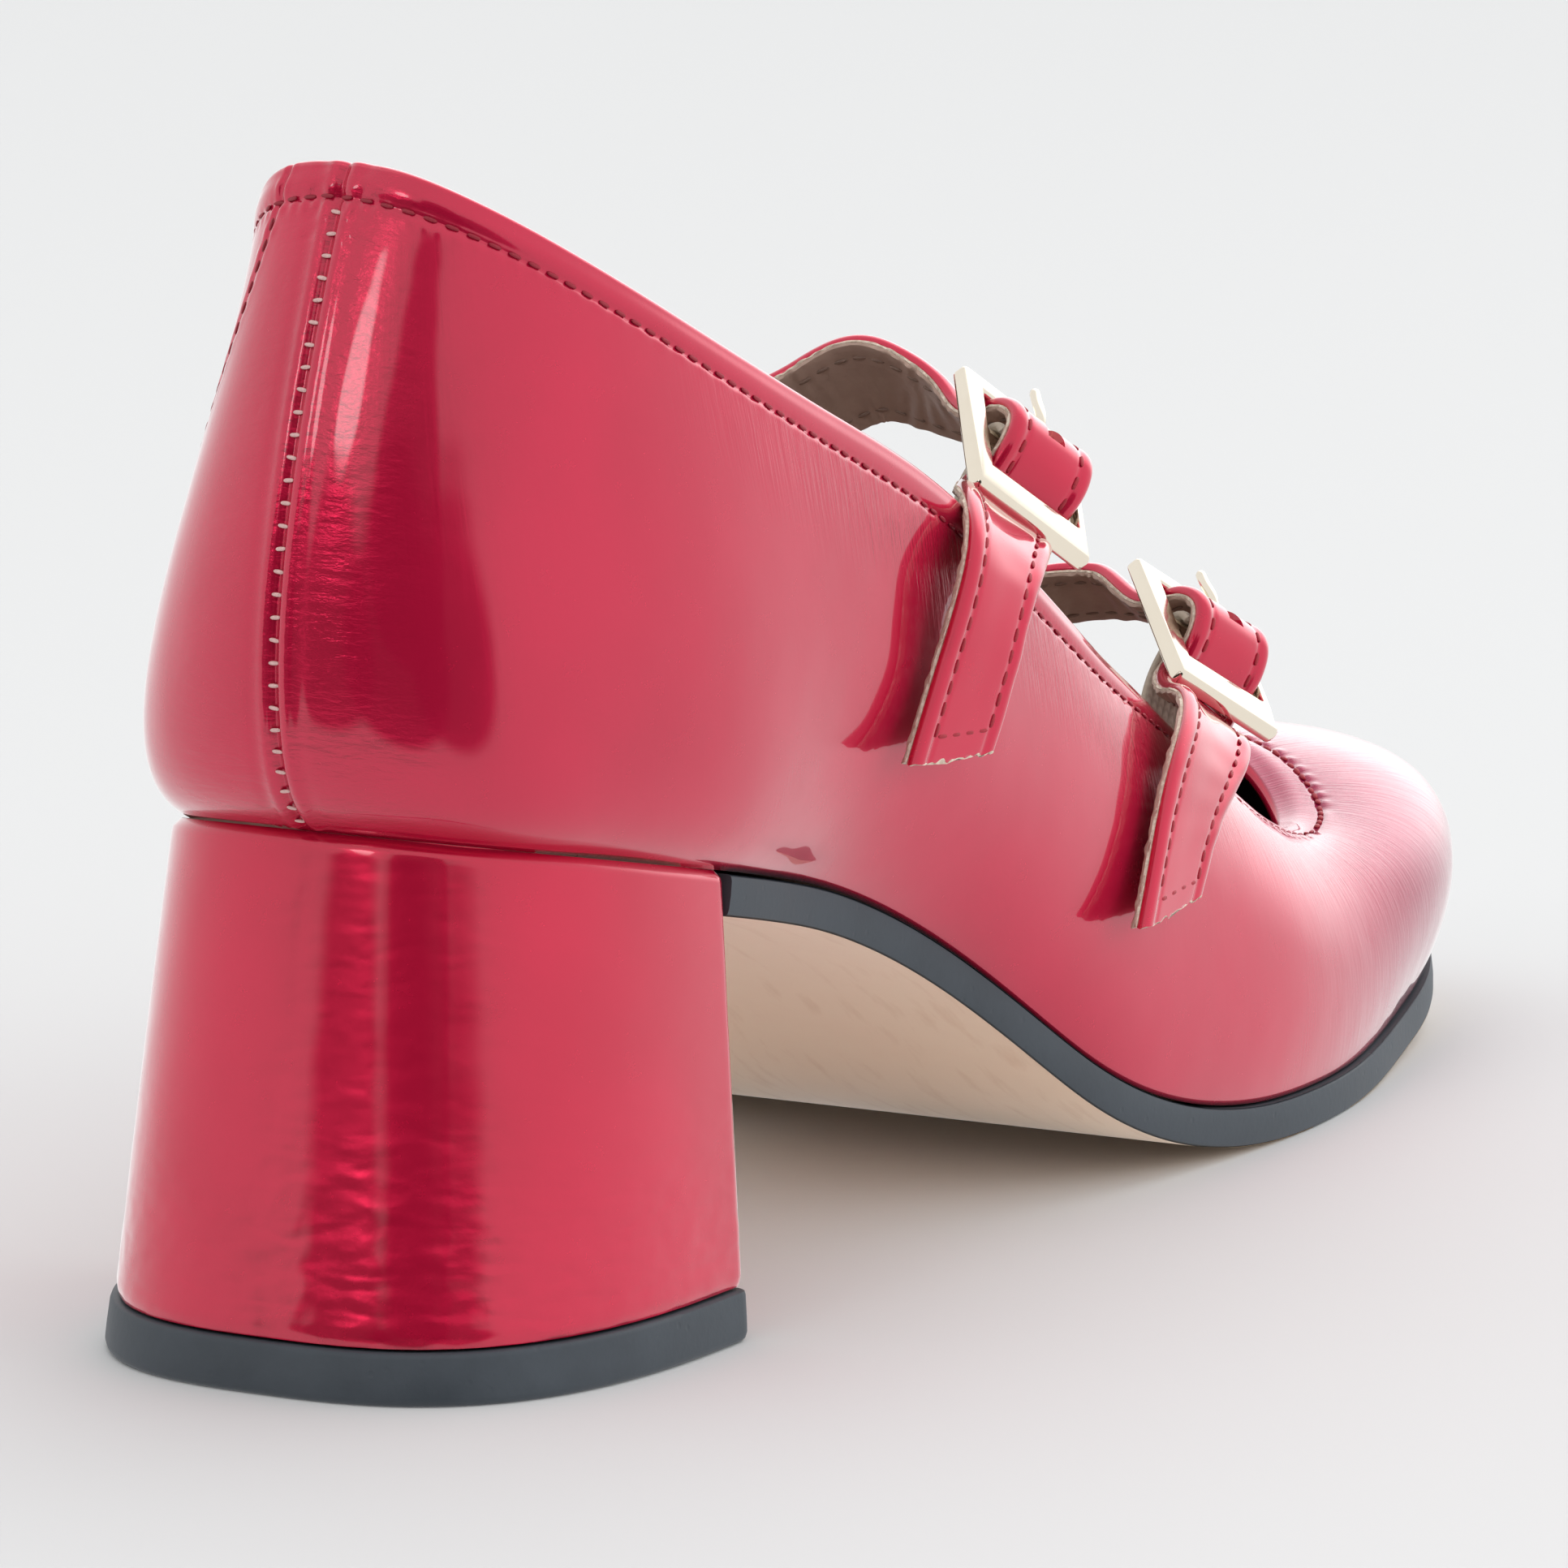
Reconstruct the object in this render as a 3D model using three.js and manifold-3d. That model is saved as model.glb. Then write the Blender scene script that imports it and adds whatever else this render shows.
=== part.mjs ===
// Right shoe of a pair: a patent leather mary jane with two buckled straps on a flared block heel.
// Units are millimetres. +X runs from heel to toe, +Y to the medial side, +Z up from the floor.
import * as THREE from 'three';
import Module from 'manifold-3d';
import { mergeVertices } from 'three/addons/utils/BufferGeometryUtils.js';

const wasm = await Module();
wasm.setup();

// ---- Driving sizes ----
const GAP = 0.3;                 // clear space between neighbouring pieces
const WALL = 1.7;                // upper leather with its lining
const SOLE_THICK = 4.0;          // outsole
const SOLE_PROUD = 0.9;          // outsole edge beyond the upper
const INSOLE_THICK = 2.2;
const INSOLE_INSET = 2.3;        // insole edge inside the feather line
const BREAST_X = 41.6;           // front face of the heel at the seat
const TOP_PIECE_THICK = 4.8;
const STRAP_WIDTH = 11.5;
const STRAP_THICK = 1.7;
const ELASTIC_WIDTH = 10.5;
const ELASTIC_THICK = 0.9;
const FRAME_WIDTH = 16.4;        // buckle across the strap
const FRAME_LENGTH = 16.8;       // buckle along the strap
const FRAME_THICK = 1.9;
const END_BAR = 2.8;             // flat bars across the strap
const SIDE_BAR = 1.8;            // flat bars along the strap
const CENTRE_BAR_RADIUS = 0.8;
const CENTRE_BAR_DROP = 0.7;      // centre bar set back behind the middle of the frame
const PRONG_RADIUS = 0.55;

// Heel outlines: a D with its straight breast towards the toe.
const HEEL_BOTTOM = { back: -6.4, breast: 36.2, half: 28.5, middle: -0.9, power: 2.8, skew: 0.02 };
const HEEL_SEAT = { back: 4.2, breast: 41.2, half: 24.8, middle: 1.1, power: 2.5, skew: 0.0 };

// Top of the outsole and of the heel seat along the shoe.
const LAST_BOTTOM = [
  { x: -8, z: 53.2 },
  { x: 16, z: 48.35 },
  { x: 41.6, z: 43.2 },
  { x: 55, z: 40.3 },
  { x: 66, z: 37.5 },
  { x: 77, z: 33.5 },
  { x: 88, z: 27.9 },
  { x: 99, z: 20.6 },
  { x: 109, z: 13.6 },
  { x: 119, z: 8.8 },
  { x: 130, z: 5.8 },
  { x: 142, z: 4.3 },
  { x: 152, z: 4.0 },
  { x: 163, z: 4.0 },
  { x: 178, z: 4.6 },
  { x: 194, z: 5.7 },
  { x: 210, z: 7.6 },
  { x: 232, z: 11.6 },
];

// The upper, one row for each section round the foot, from the back seam along the lateral side
// to the toe and home along the medial side. fx, fy: feather line. tx, ty, tz: topline.
// out1, up1: how the section leaves the feather line. out2, down2: how it reaches the topline.
const SECTIONS = [
  { at: 'back seam', fx: 4.8, fy: 0, tx: 10.2, ty: -0.8, tz: 112, out1: 12.8, up1: 5.4, out2: 11, down2: 24 },
  { at: 'heel L1', fx: 9.3, fy: -14, tx: 10.6, ty: -9.3, tz: 110.6, out1: 12, up1: 5.5, out2: 8, down2: 24 },
  { at: 'heel L2', fx: 22, fy: -20.3, tx: 18, ty: -17.6, tz: 105.2, out1: 10, up1: 6, out2: 6, down2: 23 },
  { at: 'breast L', fx: 41, fy: -23.3, tx: 33, ty: -23.5, tz: 96.5, out1: 8.5, up1: 7, out2: 5, down2: 21 },
  { at: 'waist L1', fx: 61, fy: -21.6, tx: 53, ty: -26.3, tz: 86.8, out1: 8, up1: 9, out2: 3.5, down2: 19 },
  { at: 'waist L2', fx: 80, fy: -22.2, tx: 75, ty: -27, tz: 77.3, out1: 8.5, up1: 9, out2: 2.5, down2: 17 },
  { at: 'arch L', fx: 97, fy: -25.6, tx: 96, ty: -26.6, tz: 66, out1: 7, up1: 10, out2: 2.5, down2: 15 },
  { at: 'joint L', fx: 113, fy: -29.9, tx: 115, ty: -25.4, tz: 55, out1: 3.5, up1: 11, out2: 4.5, down2: 12 },
  { at: 'ball L1', fx: 131, fy: -32.2, tx: 134, ty: -23.3, tz: 45.6, out1: 3, up1: 12, out2: 6.5, down2: 9 },
  { at: 'ball L2', fx: 150, fy: -32.9, tx: 151, ty: -21.9, tz: 36.2, out1: 3, up1: 12, out2: 8.5, down2: 6 },
  { at: 'fore L1', fx: 170, fy: -30.6, tx: 166, ty: -19.8, tz: 29.1, out1: 3, up1: 12, out2: 9.5, down2: 2.5 },
  { at: 'fore L2', fx: 190, fy: -25.8, tx: 177.6, ty: -16.9, tz: 26.4, out1: 6, up1: 14, out2: 12.5, down2: -1 },
  { at: 'toe L', fx: 211, fy: -18.5, tx: 186, ty: -11.2, tz: 29, out1: 8, up1: 16, out2: 18, down2: -1.6 },
  { at: 'toe', fx: 228.5, fy: -1, tx: 190, ty: -3.2, tz: 32.6, out1: 7, up1: 16, out2: 24.5, down2: -0.9 },
  { at: 'toe M', fx: 216, fy: 17, tx: 185.8, ty: 5.8, tz: 34, out1: 5, up1: 15, out2: 19.5, down2: 1 },
  { at: 'fore M1', fx: 200, fy: 28, tx: 175.5, ty: 13.6, tz: 34, out1: 3.2, up1: 13, out2: 14, down2: 1 },
  { at: 'fore M2', fx: 183, fy: 35.6, tx: 164, ty: 19.3, tz: 36.6, out1: 3, up1: 12, out2: 11, down2: 3 },
  { at: 'ball M2', fx: 165, fy: 39.4, tx: 150, ty: 22.8, tz: 41.5, out1: 2.5, up1: 12, out2: 9.5, down2: 6 },
  { at: 'ball M1', fx: 146, fy: 38.8, tx: 133, ty: 24.8, tz: 48.5, out1: 2.5, up1: 12, out2: 8, down2: 9 },
  { at: 'joint M', fx: 126, fy: 34, tx: 115, ty: 26.2, tz: 57.5, out1: 2.5, up1: 12, out2: 6, down2: 12 },
  { at: 'arch M', fx: 106, fy: 27.2, tx: 96, ty: 27, tz: 68, out1: 4.5, up1: 11, out2: 4, down2: 15 },
  { at: 'waist M2', fx: 86, fy: 21.9, tx: 75, ty: 26.9, tz: 79, out1: 7, up1: 10, out2: 3, down2: 17 },
  { at: 'waist M1', fx: 64, fy: 20.4, tx: 53.5, ty: 25.8, tz: 88.5, out1: 8, up1: 9, out2: 3.5, down2: 19 },
  { at: 'breast M', fx: 41, fy: 23.8, tx: 33, ty: 20.6, tz: 97.5, out1: 9, up1: 7, out2: 3.5, down2: 21 },
  { at: 'heel M2', fx: 22, fy: 21.2, tx: 18.4, ty: 13.6, tz: 105.8, out1: 11, up1: 6, out2: 3, down2: 23 },
  { at: 'heel M1', fx: 9.3, fy: 14.8, tx: 11.2, ty: 7, tz: 110.8, out1: 12, up1: 5.5, out2: 5.5, down2: 24 },
];

// Each strap: where its buckle sits, how the buckle lies, and the leather on both sides of it.
// run points down the strap towards its tail, across points over its width towards the toe.
// exit is where the leather leaves the near bar, slant how much longer the tail's rear edge is.
const REAR_STRAP = {
  name: 'rear',
  centre: [103.2, -24.3, 75],
  run: [-0.69, -0.46, -0.56],
  across: [0.8, -0.33, -0.5],
  root: [{ x: 96, z: 52, lift: 0.3 }, { x: 100, z: 60, lift: 0.6 }],
  arch: [
    { x: 105, y: 17, z: 68.5, dip: 34, swing: -4 },
    { x: 108, y: 9.5, z: 75, dip: 42, swing: -1 },
    { x: 110.2, y: 3.5, z: 78.2, dip: 47, swing: 2 },
    { x: 111.3, y: -2.5, z: 80.9, dip: 49, swing: 7 },
    { x: 111.6, y: -8, z: 79.6, dip: 47, swing: 12 },
  ],
  tail: [
    { x: 79.8, z: 65, lift: 4.1, dip: 26, swing: 9 },
    { x: 76.3, z: 58.7, lift: 3.4, dip: 18, swing: 11.5 },
    { x: 72.3, z: 51, lift: 3.4, dip: 10, swing: 11 },
  ],
  elastic: [{ x: 94, z: 55, lift: 0.3 }, { x: 97, z: 61, lift: 0.5 }],
  slant: -6,
  exit: { along: 2.2, side: -3, rise: 0.3 },
};
const FRONT_STRAP = {
  name: 'front',
  centre: [154.2, -19.8, 49.4],
  run: [-0.56, -0.585, -0.59],
  across: [0.76, -0.35, -0.55],
  root: [{ x: 137, z: 31, lift: 0.6 }, { x: 140.5, z: 38, lift: 1.7 }],
  arch: [
    { x: 149.5, y: 14.5, z: 45.8, dip: 24, swing: -6 },
    { x: 156.5, y: 7, z: 50, dip: 28, swing: -2 },
    { x: 161, y: 0, z: 52.3, dip: 30, swing: 4 },
    { x: 161.4, y: -6, z: 52.6, dip: 32, swing: 10 },
  ],
  tail: [
    { x: 140.8, z: 41.5, lift: 3.2, dip: 22, swing: -3 },
    { x: 125, z: 37, lift: 2.3, dip: 15, swing: -1 },
    { x: 114.2, z: 26.8, lift: 2.4, dip: 12, swing: -2 },
  ],
  elastic: [{ x: 141, z: 30, lift: 1.8 }, { x: 145, z: 36, lift: 2.9 }],
  slant: -13,
  exit: { along: 1.6, side: -1.4, rise: -0.6 },
};

// ---- Colours and finishes ----
function patentMaterial() {
  return new THREE.MeshStandardMaterial({ name: 'patent_leather', color: 0xb81b38, roughness: 0.12 });
}
function soleMaterial() {
  return new THREE.MeshStandardMaterial({ name: 'sole_rubber', color: 0x3c444a, roughness: 0.75 });
}
function insoleMaterial() {
  return new THREE.MeshStandardMaterial({ name: 'insole_leather', color: 0xa58a78, roughness: 0.7 });
}
function buckleMaterial() {
  return new THREE.MeshStandardMaterial({ name: 'buckle_metal', color: 0xe6d9b8, roughness: 0.2, metalness: 1 });
}
function elasticMaterial() {
  return new THREE.MeshStandardMaterial({ name: 'elastic_knit', color: 0xc8b8a4, roughness: 0.9 });
}

// ---- Curves through table rows ----
function clamp(value, low, high) {
  return Math.min(Math.max(value, low), high);
}

// Cubic curve through the values of a closed ring of rows, one unit of u for each row.
function ringCurve(values) {
  const count = values.length;
  let knots = values.slice();
  for (let pass = 0; pass < 60; pass += 1) {
    knots = values.map((value, i) => {
      const before = knots[(i + count - 1) % count];
      const after = knots[(i + 1) % count];
      return (6 * value - before - after) / 4;
    });
  }
  return (u) => {
    const cell = Math.floor(u);
    const t = u - cell;
    const at = (k) => knots[(((cell + k) % count) + count) % count];
    const s = 1 - t;
    const first = s * s * s * at(-1);
    const second = (3 * t * t * t - 6 * t * t + 4) * at(0);
    const third = (3 * s * s * s - 6 * s * s + 4) * at(1);
    return (first + second + third + t * t * t * at(2)) / 6;
  };
}

// Natural cubic curve through (x, y) pairs.
function openCurve(xs, ys) {
  const last = xs.length - 1;
  const bend = new Array(last + 1).fill(0);
  const work = new Array(last + 1).fill(0);
  for (let i = 1; i < last; i += 1) {
    const ratio = (xs[i] - xs[i - 1]) / (xs[i + 1] - xs[i - 1]);
    const scale = ratio * bend[i - 1] + 2;
    const rise = (ys[i + 1] - ys[i]) / (xs[i + 1] - xs[i]) - (ys[i] - ys[i - 1]) / (xs[i] - xs[i - 1]);
    bend[i] = (ratio - 1) / scale;
    work[i] = ((6 * rise) / (xs[i + 1] - xs[i - 1]) - ratio * work[i - 1]) / scale;
  }
  for (let i = last - 1; i >= 0; i -= 1) {
    bend[i] = bend[i] * bend[i + 1] + work[i];
  }
  return (x) => {
    let i = 0;
    while (i < last - 1 && x > xs[i + 1]) {
      i += 1;
    }
    const span = xs[i + 1] - xs[i];
    const a = (xs[i + 1] - x) / span;
    const b = (x - xs[i]) / span;
    const curve = (a * a * a - a) * bend[i] + (b * b * b - b) * bend[i + 1];
    return a * ys[i] + b * ys[i + 1] + (curve * span * span) / 6;
  };
}

// Height of the outsole top and heel seat at a distance along the shoe.
const bottomCurve = openCurve(LAST_BOTTOM.map((row) => row.x), LAST_BOTTOM.map((row) => row.z));
function lastBottom(x) {
  const seat = LAST_BOTTOM[2];
  if (x < seat.x) {
    return seat.z + (seat.x - x) * 0.2012;
  }
  return bottomCurve(x);
}

// ---- The upper's own function ----
const columnCurves = {};
for (const column of ['fx', 'fy', 'tx', 'ty', 'tz', 'out1', 'up1', 'out2', 'down2']) {
  columnCurves[column] = ringCurve(SECTIONS.map((row) => row[column]));
}

// Plan direction that points away from the foot at u, on the curve named by its two columns.
function planOutward(u, columnX, columnY) {
  const step = 0.01;
  const dx = columnCurves[columnX](u + step) - columnCurves[columnX](u - step);
  const dy = columnCurves[columnY](u + step) - columnCurves[columnY](u - step);
  return new THREE.Vector2(dy, -dx).normalize();
}

// Outer face of the upper: u runs round the foot, h from the feather line (0) to the topline (1).
function upperOutside(u, h) {
  const low = planOutward(u, 'fx', 'fy');
  const high = planOutward(u, 'tx', 'ty');
  const fx = columnCurves.fx(u);
  const fy = columnCurves.fy(u);
  const fz = lastBottom(fx) + GAP;
  const tx = columnCurves.tx(u);
  const ty = columnCurves.ty(u);
  const tz = columnCurves.tz(u);
  const out1 = columnCurves.out1(u);
  const out2 = columnCurves.out2(u);
  const up1 = columnCurves.up1(u);
  const down2 = columnCurves.down2(u);
  const p0 = new THREE.Vector3(fx, fy, fz);
  const p1 = new THREE.Vector3(fx + low.x * out1, fy + low.y * out1, fz + up1);
  const p2 = new THREE.Vector3(tx + high.x * out2, ty + high.y * out2, tz - down2);
  const p3 = new THREE.Vector3(tx, ty, tz);
  const g = 1 - h;
  const point = p0.multiplyScalar(g * g * g);
  point.addScaledVector(p1, 3 * g * g * h);
  point.addScaledVector(p2, 3 * g * h * h);
  return point.addScaledVector(p3, h * h * h);
}

function upperNormal(u, h) {
  const step = 0.004;
  const along = upperOutside(u + step, h).sub(upperOutside(u - step, h));
  const low = clamp(h - step, 0, 1);
  const high = clamp(h + step, 0, 1);
  const rise = upperOutside(u, high).sub(upperOutside(u, low));
  return along.cross(rise).normalize();
}

function upperInside(u, h) {
  return upperOutside(u, h).addScaledVector(upperNormal(u, h), -WALL);
}

// The point on the outer face at a given x and z, on the side where u starts.
function sidePoint(x, z, start) {
  let u = start;
  let h = 0.6;
  for (let pass = 0; pass < 30; pass += 1) {
    const here = upperOutside(u, h);
    const du = upperOutside(u + 0.01, h).sub(here).multiplyScalar(100);
    const dh = upperOutside(u, h + 0.01).sub(here).multiplyScalar(100);
    const missX = x - here.x;
    const missZ = z - here.z;
    const det = du.x * dh.z - dh.x * du.z;
    u = clamp(u + clamp((missX * dh.z - dh.x * missZ) / det, -0.8, 0.8), start - 7, start + 7);
    h = clamp(h + clamp((du.x * missZ - missX * du.z) / det, -0.2, 0.2), 0.02, 1);
  }
  return { point: upperOutside(u, h), normal: upperNormal(u, h) };
}

// ---- Mesh helpers ----
function meshFromTriangles(points, triangles) {
  const geometry = new THREE.BufferGeometry();
  geometry.setAttribute('position', new THREE.Float32BufferAttribute(points.flatMap((p) => [p.x, p.y, p.z]), 3));
  geometry.setIndex(triangles.flat());
  geometry.computeVertexNormals();
  return geometry;
}

function quad(triangles, a, b, c, d) {
  triangles.push([a, b, c], [a, c, d]);
}

// A solid through equal rings of points, each ring a closed loop, with flat ends.
function loftRings(rings) {
  const count = rings[0].length;
  const points = rings.flat();
  const triangles = [];
  for (let r = 0; r + 1 < rings.length; r += 1) {
    for (let i = 0; i < count; i += 1) {
      const j = (i + 1) % count;
      quad(triangles, r * count + i, r * count + j, (r + 1) * count + j, (r + 1) * count + i);
    }
  }
  const endRing = (rings.length - 1) * count;
  const flatRing = (ring) => ring.map((p) => new THREE.Vector2(p.x, p.y));
  const startCap = THREE.ShapeUtils.triangulateShape(flatRing(rings[0]), []);
  startCap.forEach(([a, b, c]) => triangles.push([a, c, b]));
  const endCap = THREE.ShapeUtils.triangulateShape(flatRing(rings[rings.length - 1]), []);
  endCap.forEach(([a, b, c]) => triangles.push([endRing + a, endRing + b, endRing + c]));
  return meshFromTriangles(points, triangles);
}

function toManifold(geometry) {
  const bare = geometry.clone();
  bare.deleteAttribute('normal');
  bare.deleteAttribute('uv');
  const merged = mergeVertices(bare, 1e-4);
  const vertProperties = new Float32Array(merged.attributes.position.array);
  const triVerts = new Uint32Array(merged.index.array);
  return new wasm.Manifold(new wasm.Mesh({ numProp: 3, vertProperties, triVerts }));
}

function fromManifold(solid) {
  const mesh = solid.getMesh();
  const geometry = new THREE.BufferGeometry();
  geometry.setAttribute('position', new THREE.BufferAttribute(new Float32Array(mesh.vertProperties), 3));
  geometry.setIndex(new THREE.BufferAttribute(new Uint32Array(mesh.triVerts), 1));
  geometry.computeVertexNormals();
  return geometry;
}

function named(name, geometry, material) {
  const mesh = new THREE.Mesh(geometry, material);
  mesh.name = name;
  return mesh;
}

// ---- Upper ----
function buildUpper() {
  const around = 78;
  const levels = 11;
  const points = [];
  for (let side = 0; side < 2; side += 1) {
    for (let k = 0; k <= levels; k += 1) {
      for (let i = 0; i < around; i += 1) {
        const u = (i * SECTIONS.length) / around;
        const h = k / levels;
        points.push(side === 0 ? upperOutside(u, h) : upperInside(u, h));
      }
    }
  }
  const inner = (levels + 1) * around;
  const triangles = [];
  for (let i = 0; i < around; i += 1) {
    const j = (i + 1) % around;
    for (let k = 0; k < levels; k += 1) {
      const a = k * around;
      const b = (k + 1) * around;
      quad(triangles, a + i, a + j, b + j, b + i);
      quad(triangles, inner + a + j, inner + a + i, inner + b + i, inner + b + j);
    }
    const top = levels * around;
    quad(triangles, top + i, top + j, inner + top + j, inner + top + i);
    quad(triangles, j, i, inner + i, inner + j);
  }
  return named('upper', meshFromTriangles(points, triangles), patentMaterial());
}

// ---- Outsole and insole ----
// The feather line moved sideways in plan, as a fine loop.
function featherLoop(shift) {
  const loop = [];
  for (let i = 0; i < 720; i += 1) {
    const u = (i * SECTIONS.length) / 720;
    const out = planOutward(u, 'fx', 'fy');
    loop.push(new THREE.Vector2(columnCurves.fx(u) + out.x * shift, columnCurves.fy(u) + out.y * shift));
  }
  return loop;
}

// Both sides of a loop at a distance along the shoe.
function sidesAt(loop, x) {
  let low = Infinity;
  let high = -Infinity;
  for (let i = 0; i < loop.length; i += 1) {
    const a = loop[i];
    const b = loop[(i + 1) % loop.length];
    if ((a.x - x) * (b.x - x) <= 0 && a.x !== b.x) {
      const y = a.y + ((x - a.x) / (b.x - a.x)) * (b.y - a.y);
      low = Math.min(low, y);
      high = Math.max(high, y);
    }
  }
  return { low, high };
}

// A bent board that follows the last bottom, from a start x to the loop's toe end.
function bentBoard(loop, startX, lift, thick, stations, roundStart) {
  const endX = Math.max(...loop.map((p) => p.x)) - 0.02;
  const across = 6;
  const rings = [];
  for (let i = 0; i <= stations; i += 1) {
    const s = i / stations;
    const eased = roundStart ? (1 - Math.cos(Math.PI * s)) / 2 : Math.sin((Math.PI / 2) * s) * 0.5 + 0.5 * s;
    const x = startX + (endX - startX) * eased;
    const { low, high } = sidesAt(loop, clamp(x, startX + 0.001, endX));
    const slope = (lastBottom(x + 0.2) - lastBottom(x - 0.2)) / 0.4;
    const length = Math.hypot(1, slope);
    const ring = [];
    const place = (y, height) => {
      const px = x - (slope / length) * height;
      ring.push(new THREE.Vector3(px, y, lastBottom(x) + height / length));
    };
    for (let k = 0; k <= across; k += 1) {
      place(low + ((high - low) * k) / across, lift);
    }
    for (let k = across; k >= 0; k -= 1) {
      place(low + ((high - low) * k) / across, lift + thick);
    }
    rings.push(ring);
  }
  const count = rings[0].length;
  const points = rings.flat();
  const triangles = [];
  for (let r = 0; r + 1 < rings.length; r += 1) {
    for (let i = 0; i < count; i += 1) {
      const j = (i + 1) % count;
      quad(triangles, r * count + i, r * count + j, (r + 1) * count + j, (r + 1) * count + i);
    }
  }
  const end = (rings.length - 1) * count;
  for (let k = 0; k < across; k += 1) {
    const top = count - 1 - k;
    quad(triangles, k + 1, k, top, top - 1);
    quad(triangles, end + k, end + k + 1, end + top - 1, end + top);
  }
  return meshFromTriangles(points, triangles);
}

function buildOutsole() {
  const loop = featherLoop(SOLE_PROUD);
  const geometry = bentBoard(loop, BREAST_X + GAP, -SOLE_THICK, SOLE_THICK, 46, false);
  return named('outsole', geometry, soleMaterial());
}

function buildInsole() {
  const loop = featherLoop(-INSOLE_INSET);
  const startX = Math.min(...loop.map((p) => p.x)) + 0.02;
  const geometry = bentBoard(loop, startX, GAP, INSOLE_THICK, 40, true);
  return named('insole', geometry, insoleMaterial());
}

// ---- Heel and top piece ----
// One point of a D outline: t runs from the lateral breast corner round the back to the medial one.
function heelOutline(shape, t) {
  const c = Math.abs(Math.cos(t)) ** (2 / shape.power);
  const s = Math.sign(Math.sin(t)) * Math.abs(Math.sin(t)) ** (2 / shape.power);
  const y = shape.half * s;
  const x = shape.breast + shape.skew * y - (shape.breast - shape.back) * c;
  return new THREE.Vector2(x, y + shape.middle);
}

function blendShape(a, b, f) {
  const mix = {};
  for (const key of Object.keys(a)) {
    mix[key] = a[key] + (b[key] - a[key]) * f;
  }
  return mix;
}

function heelRing(shape, heightAt) {
  const ring = [];
  const steps = 40;
  for (let i = 0; i <= steps; i += 1) {
    const even = -1 + (2 * i) / steps;
    const t = (Math.PI / 2) * Math.sign(even) * Math.abs(even) ** 1.15;
    const p = heelOutline(shape, clamp(t, -Math.PI / 2, Math.PI / 2));
    ring.push(new THREE.Vector3(p.x, p.y, heightAt(p.x)));
  }
  return ring.reverse();
}

function buildHeel() {
  const rings = [];
  const base = TOP_PIECE_THICK + GAP;
  for (let k = 0; k <= 6; k += 1) {
    const f = k / 6;
    const start = base / 47;
    const shape = blendShape(HEEL_BOTTOM, HEEL_SEAT, start + (1 - start) * f);
    rings.push(heelRing(shape, (x) => base + (lastBottom(x) - base) * f));
  }
  return named('heel', loftRings(rings), patentMaterial());
}

function buildTopPiece() {
  const proud = { back: -0.4, breast: 0.2, half: 0.4, middle: 0, power: 0, skew: 0 };
  const rings = [0, 0.6, TOP_PIECE_THICK].map((z, i) => {
    const shape = blendShape(HEEL_BOTTOM, HEEL_SEAT, z / 47);
    const grow = i === 0 ? 0 : 1;
    for (const key of Object.keys(shape)) {
      shape[key] += proud[key] * grow;
    }
    return heelRing(shape, () => z);
  });
  return named('top_piece', loftRings(rings), soleMaterial());
}

// ---- Straps ----
// Width direction of a strap from its dip towards the toe and its swing to the lateral side.
function widthDirection(dip, swing) {
  const d = THREE.MathUtils.degToRad(dip);
  const s = THREE.MathUtils.degToRad(swing);
  return new THREE.Vector3(Math.cos(d) * Math.cos(s), -Math.cos(d) * Math.sin(s), -Math.sin(d));
}

// Buckle axes: run along the strap, across its width, face away from the foot.
function buckleAxes(strap) {
  const run = new THREE.Vector3(...strap.run).normalize();
  const across = new THREE.Vector3(...strap.across);
  across.addScaledVector(run, -across.dot(run)).normalize();
  const face = new THREE.Vector3().crossVectors(run, across).normalize();
  return { centre: new THREE.Vector3(...strap.centre), run, across, face };
}

function buckleToWorld(axes, along, side, out) {
  const point = axes.centre.clone().addScaledVector(axes.run, along);
  return point.addScaledVector(axes.across, side).addScaledVector(axes.face, out);
}

// A band through rows of { point, width }, with square edges.
function bandGeometry(rows, width, thick, steps, slant) {
  const chord = [0];
  for (let i = 1; i < rows.length; i += 1) {
    chord.push(chord[i - 1] + rows[i].point.distanceTo(rows[i - 1].point));
  }
  const track = ['x', 'y', 'z'].map((c) => openCurve(chord, rows.map((row) => row.point[c])));
  const lean = ['x', 'y', 'z'].map((c) => openCurve(chord, rows.map((row) => row.width[c])));
  const total = chord[chord.length - 1];
  const at = (curves, s) => new THREE.Vector3(curves[0](s), curves[1](s), curves[2](s));
  const points = [];
  for (let i = 0; i <= steps; i += 1) {
    for (const side of [-1, 0, 1]) {
      const s = (total * i) / steps + (slant * side * i * i) / (2 * steps * steps);
      const tangent = at(track, s + 0.05).sub(at(track, s - 0.05)).normalize();
      const across = at(lean, s);
      across.addScaledVector(tangent, -across.dot(tangent)).normalize();
      const face = new THREE.Vector3().crossVectors(tangent, across).normalize();
      const middle = at(track, s).addScaledVector(across, (side * width) / 2);
      points.push(middle.clone().addScaledVector(face, -thick / 2));
      points.push(middle.clone().addScaledVector(face, thick / 2));
    }
  }
  const order = [0, 2, 4, 5, 3, 1];
  const triangles = [];
  for (let i = 0; i < steps; i += 1) {
    for (let k = 0; k < 6; k += 1) {
      const a = order[k];
      const b = order[(k + 1) % 6];
      quad(triangles, i * 6 + a, i * 6 + b, (i + 1) * 6 + b, (i + 1) * 6 + a);
    }
  }
  const end = steps * 6;
  quad(triangles, 0, 1, 3, 2);
  quad(triangles, 2, 3, 5, 4);
  quad(triangles, end, end + 2, end + 3, end + 1);
  quad(triangles, end + 2, end + 4, end + 5, end + 3);
  return meshFromTriangles(points, triangles);
}

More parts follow.
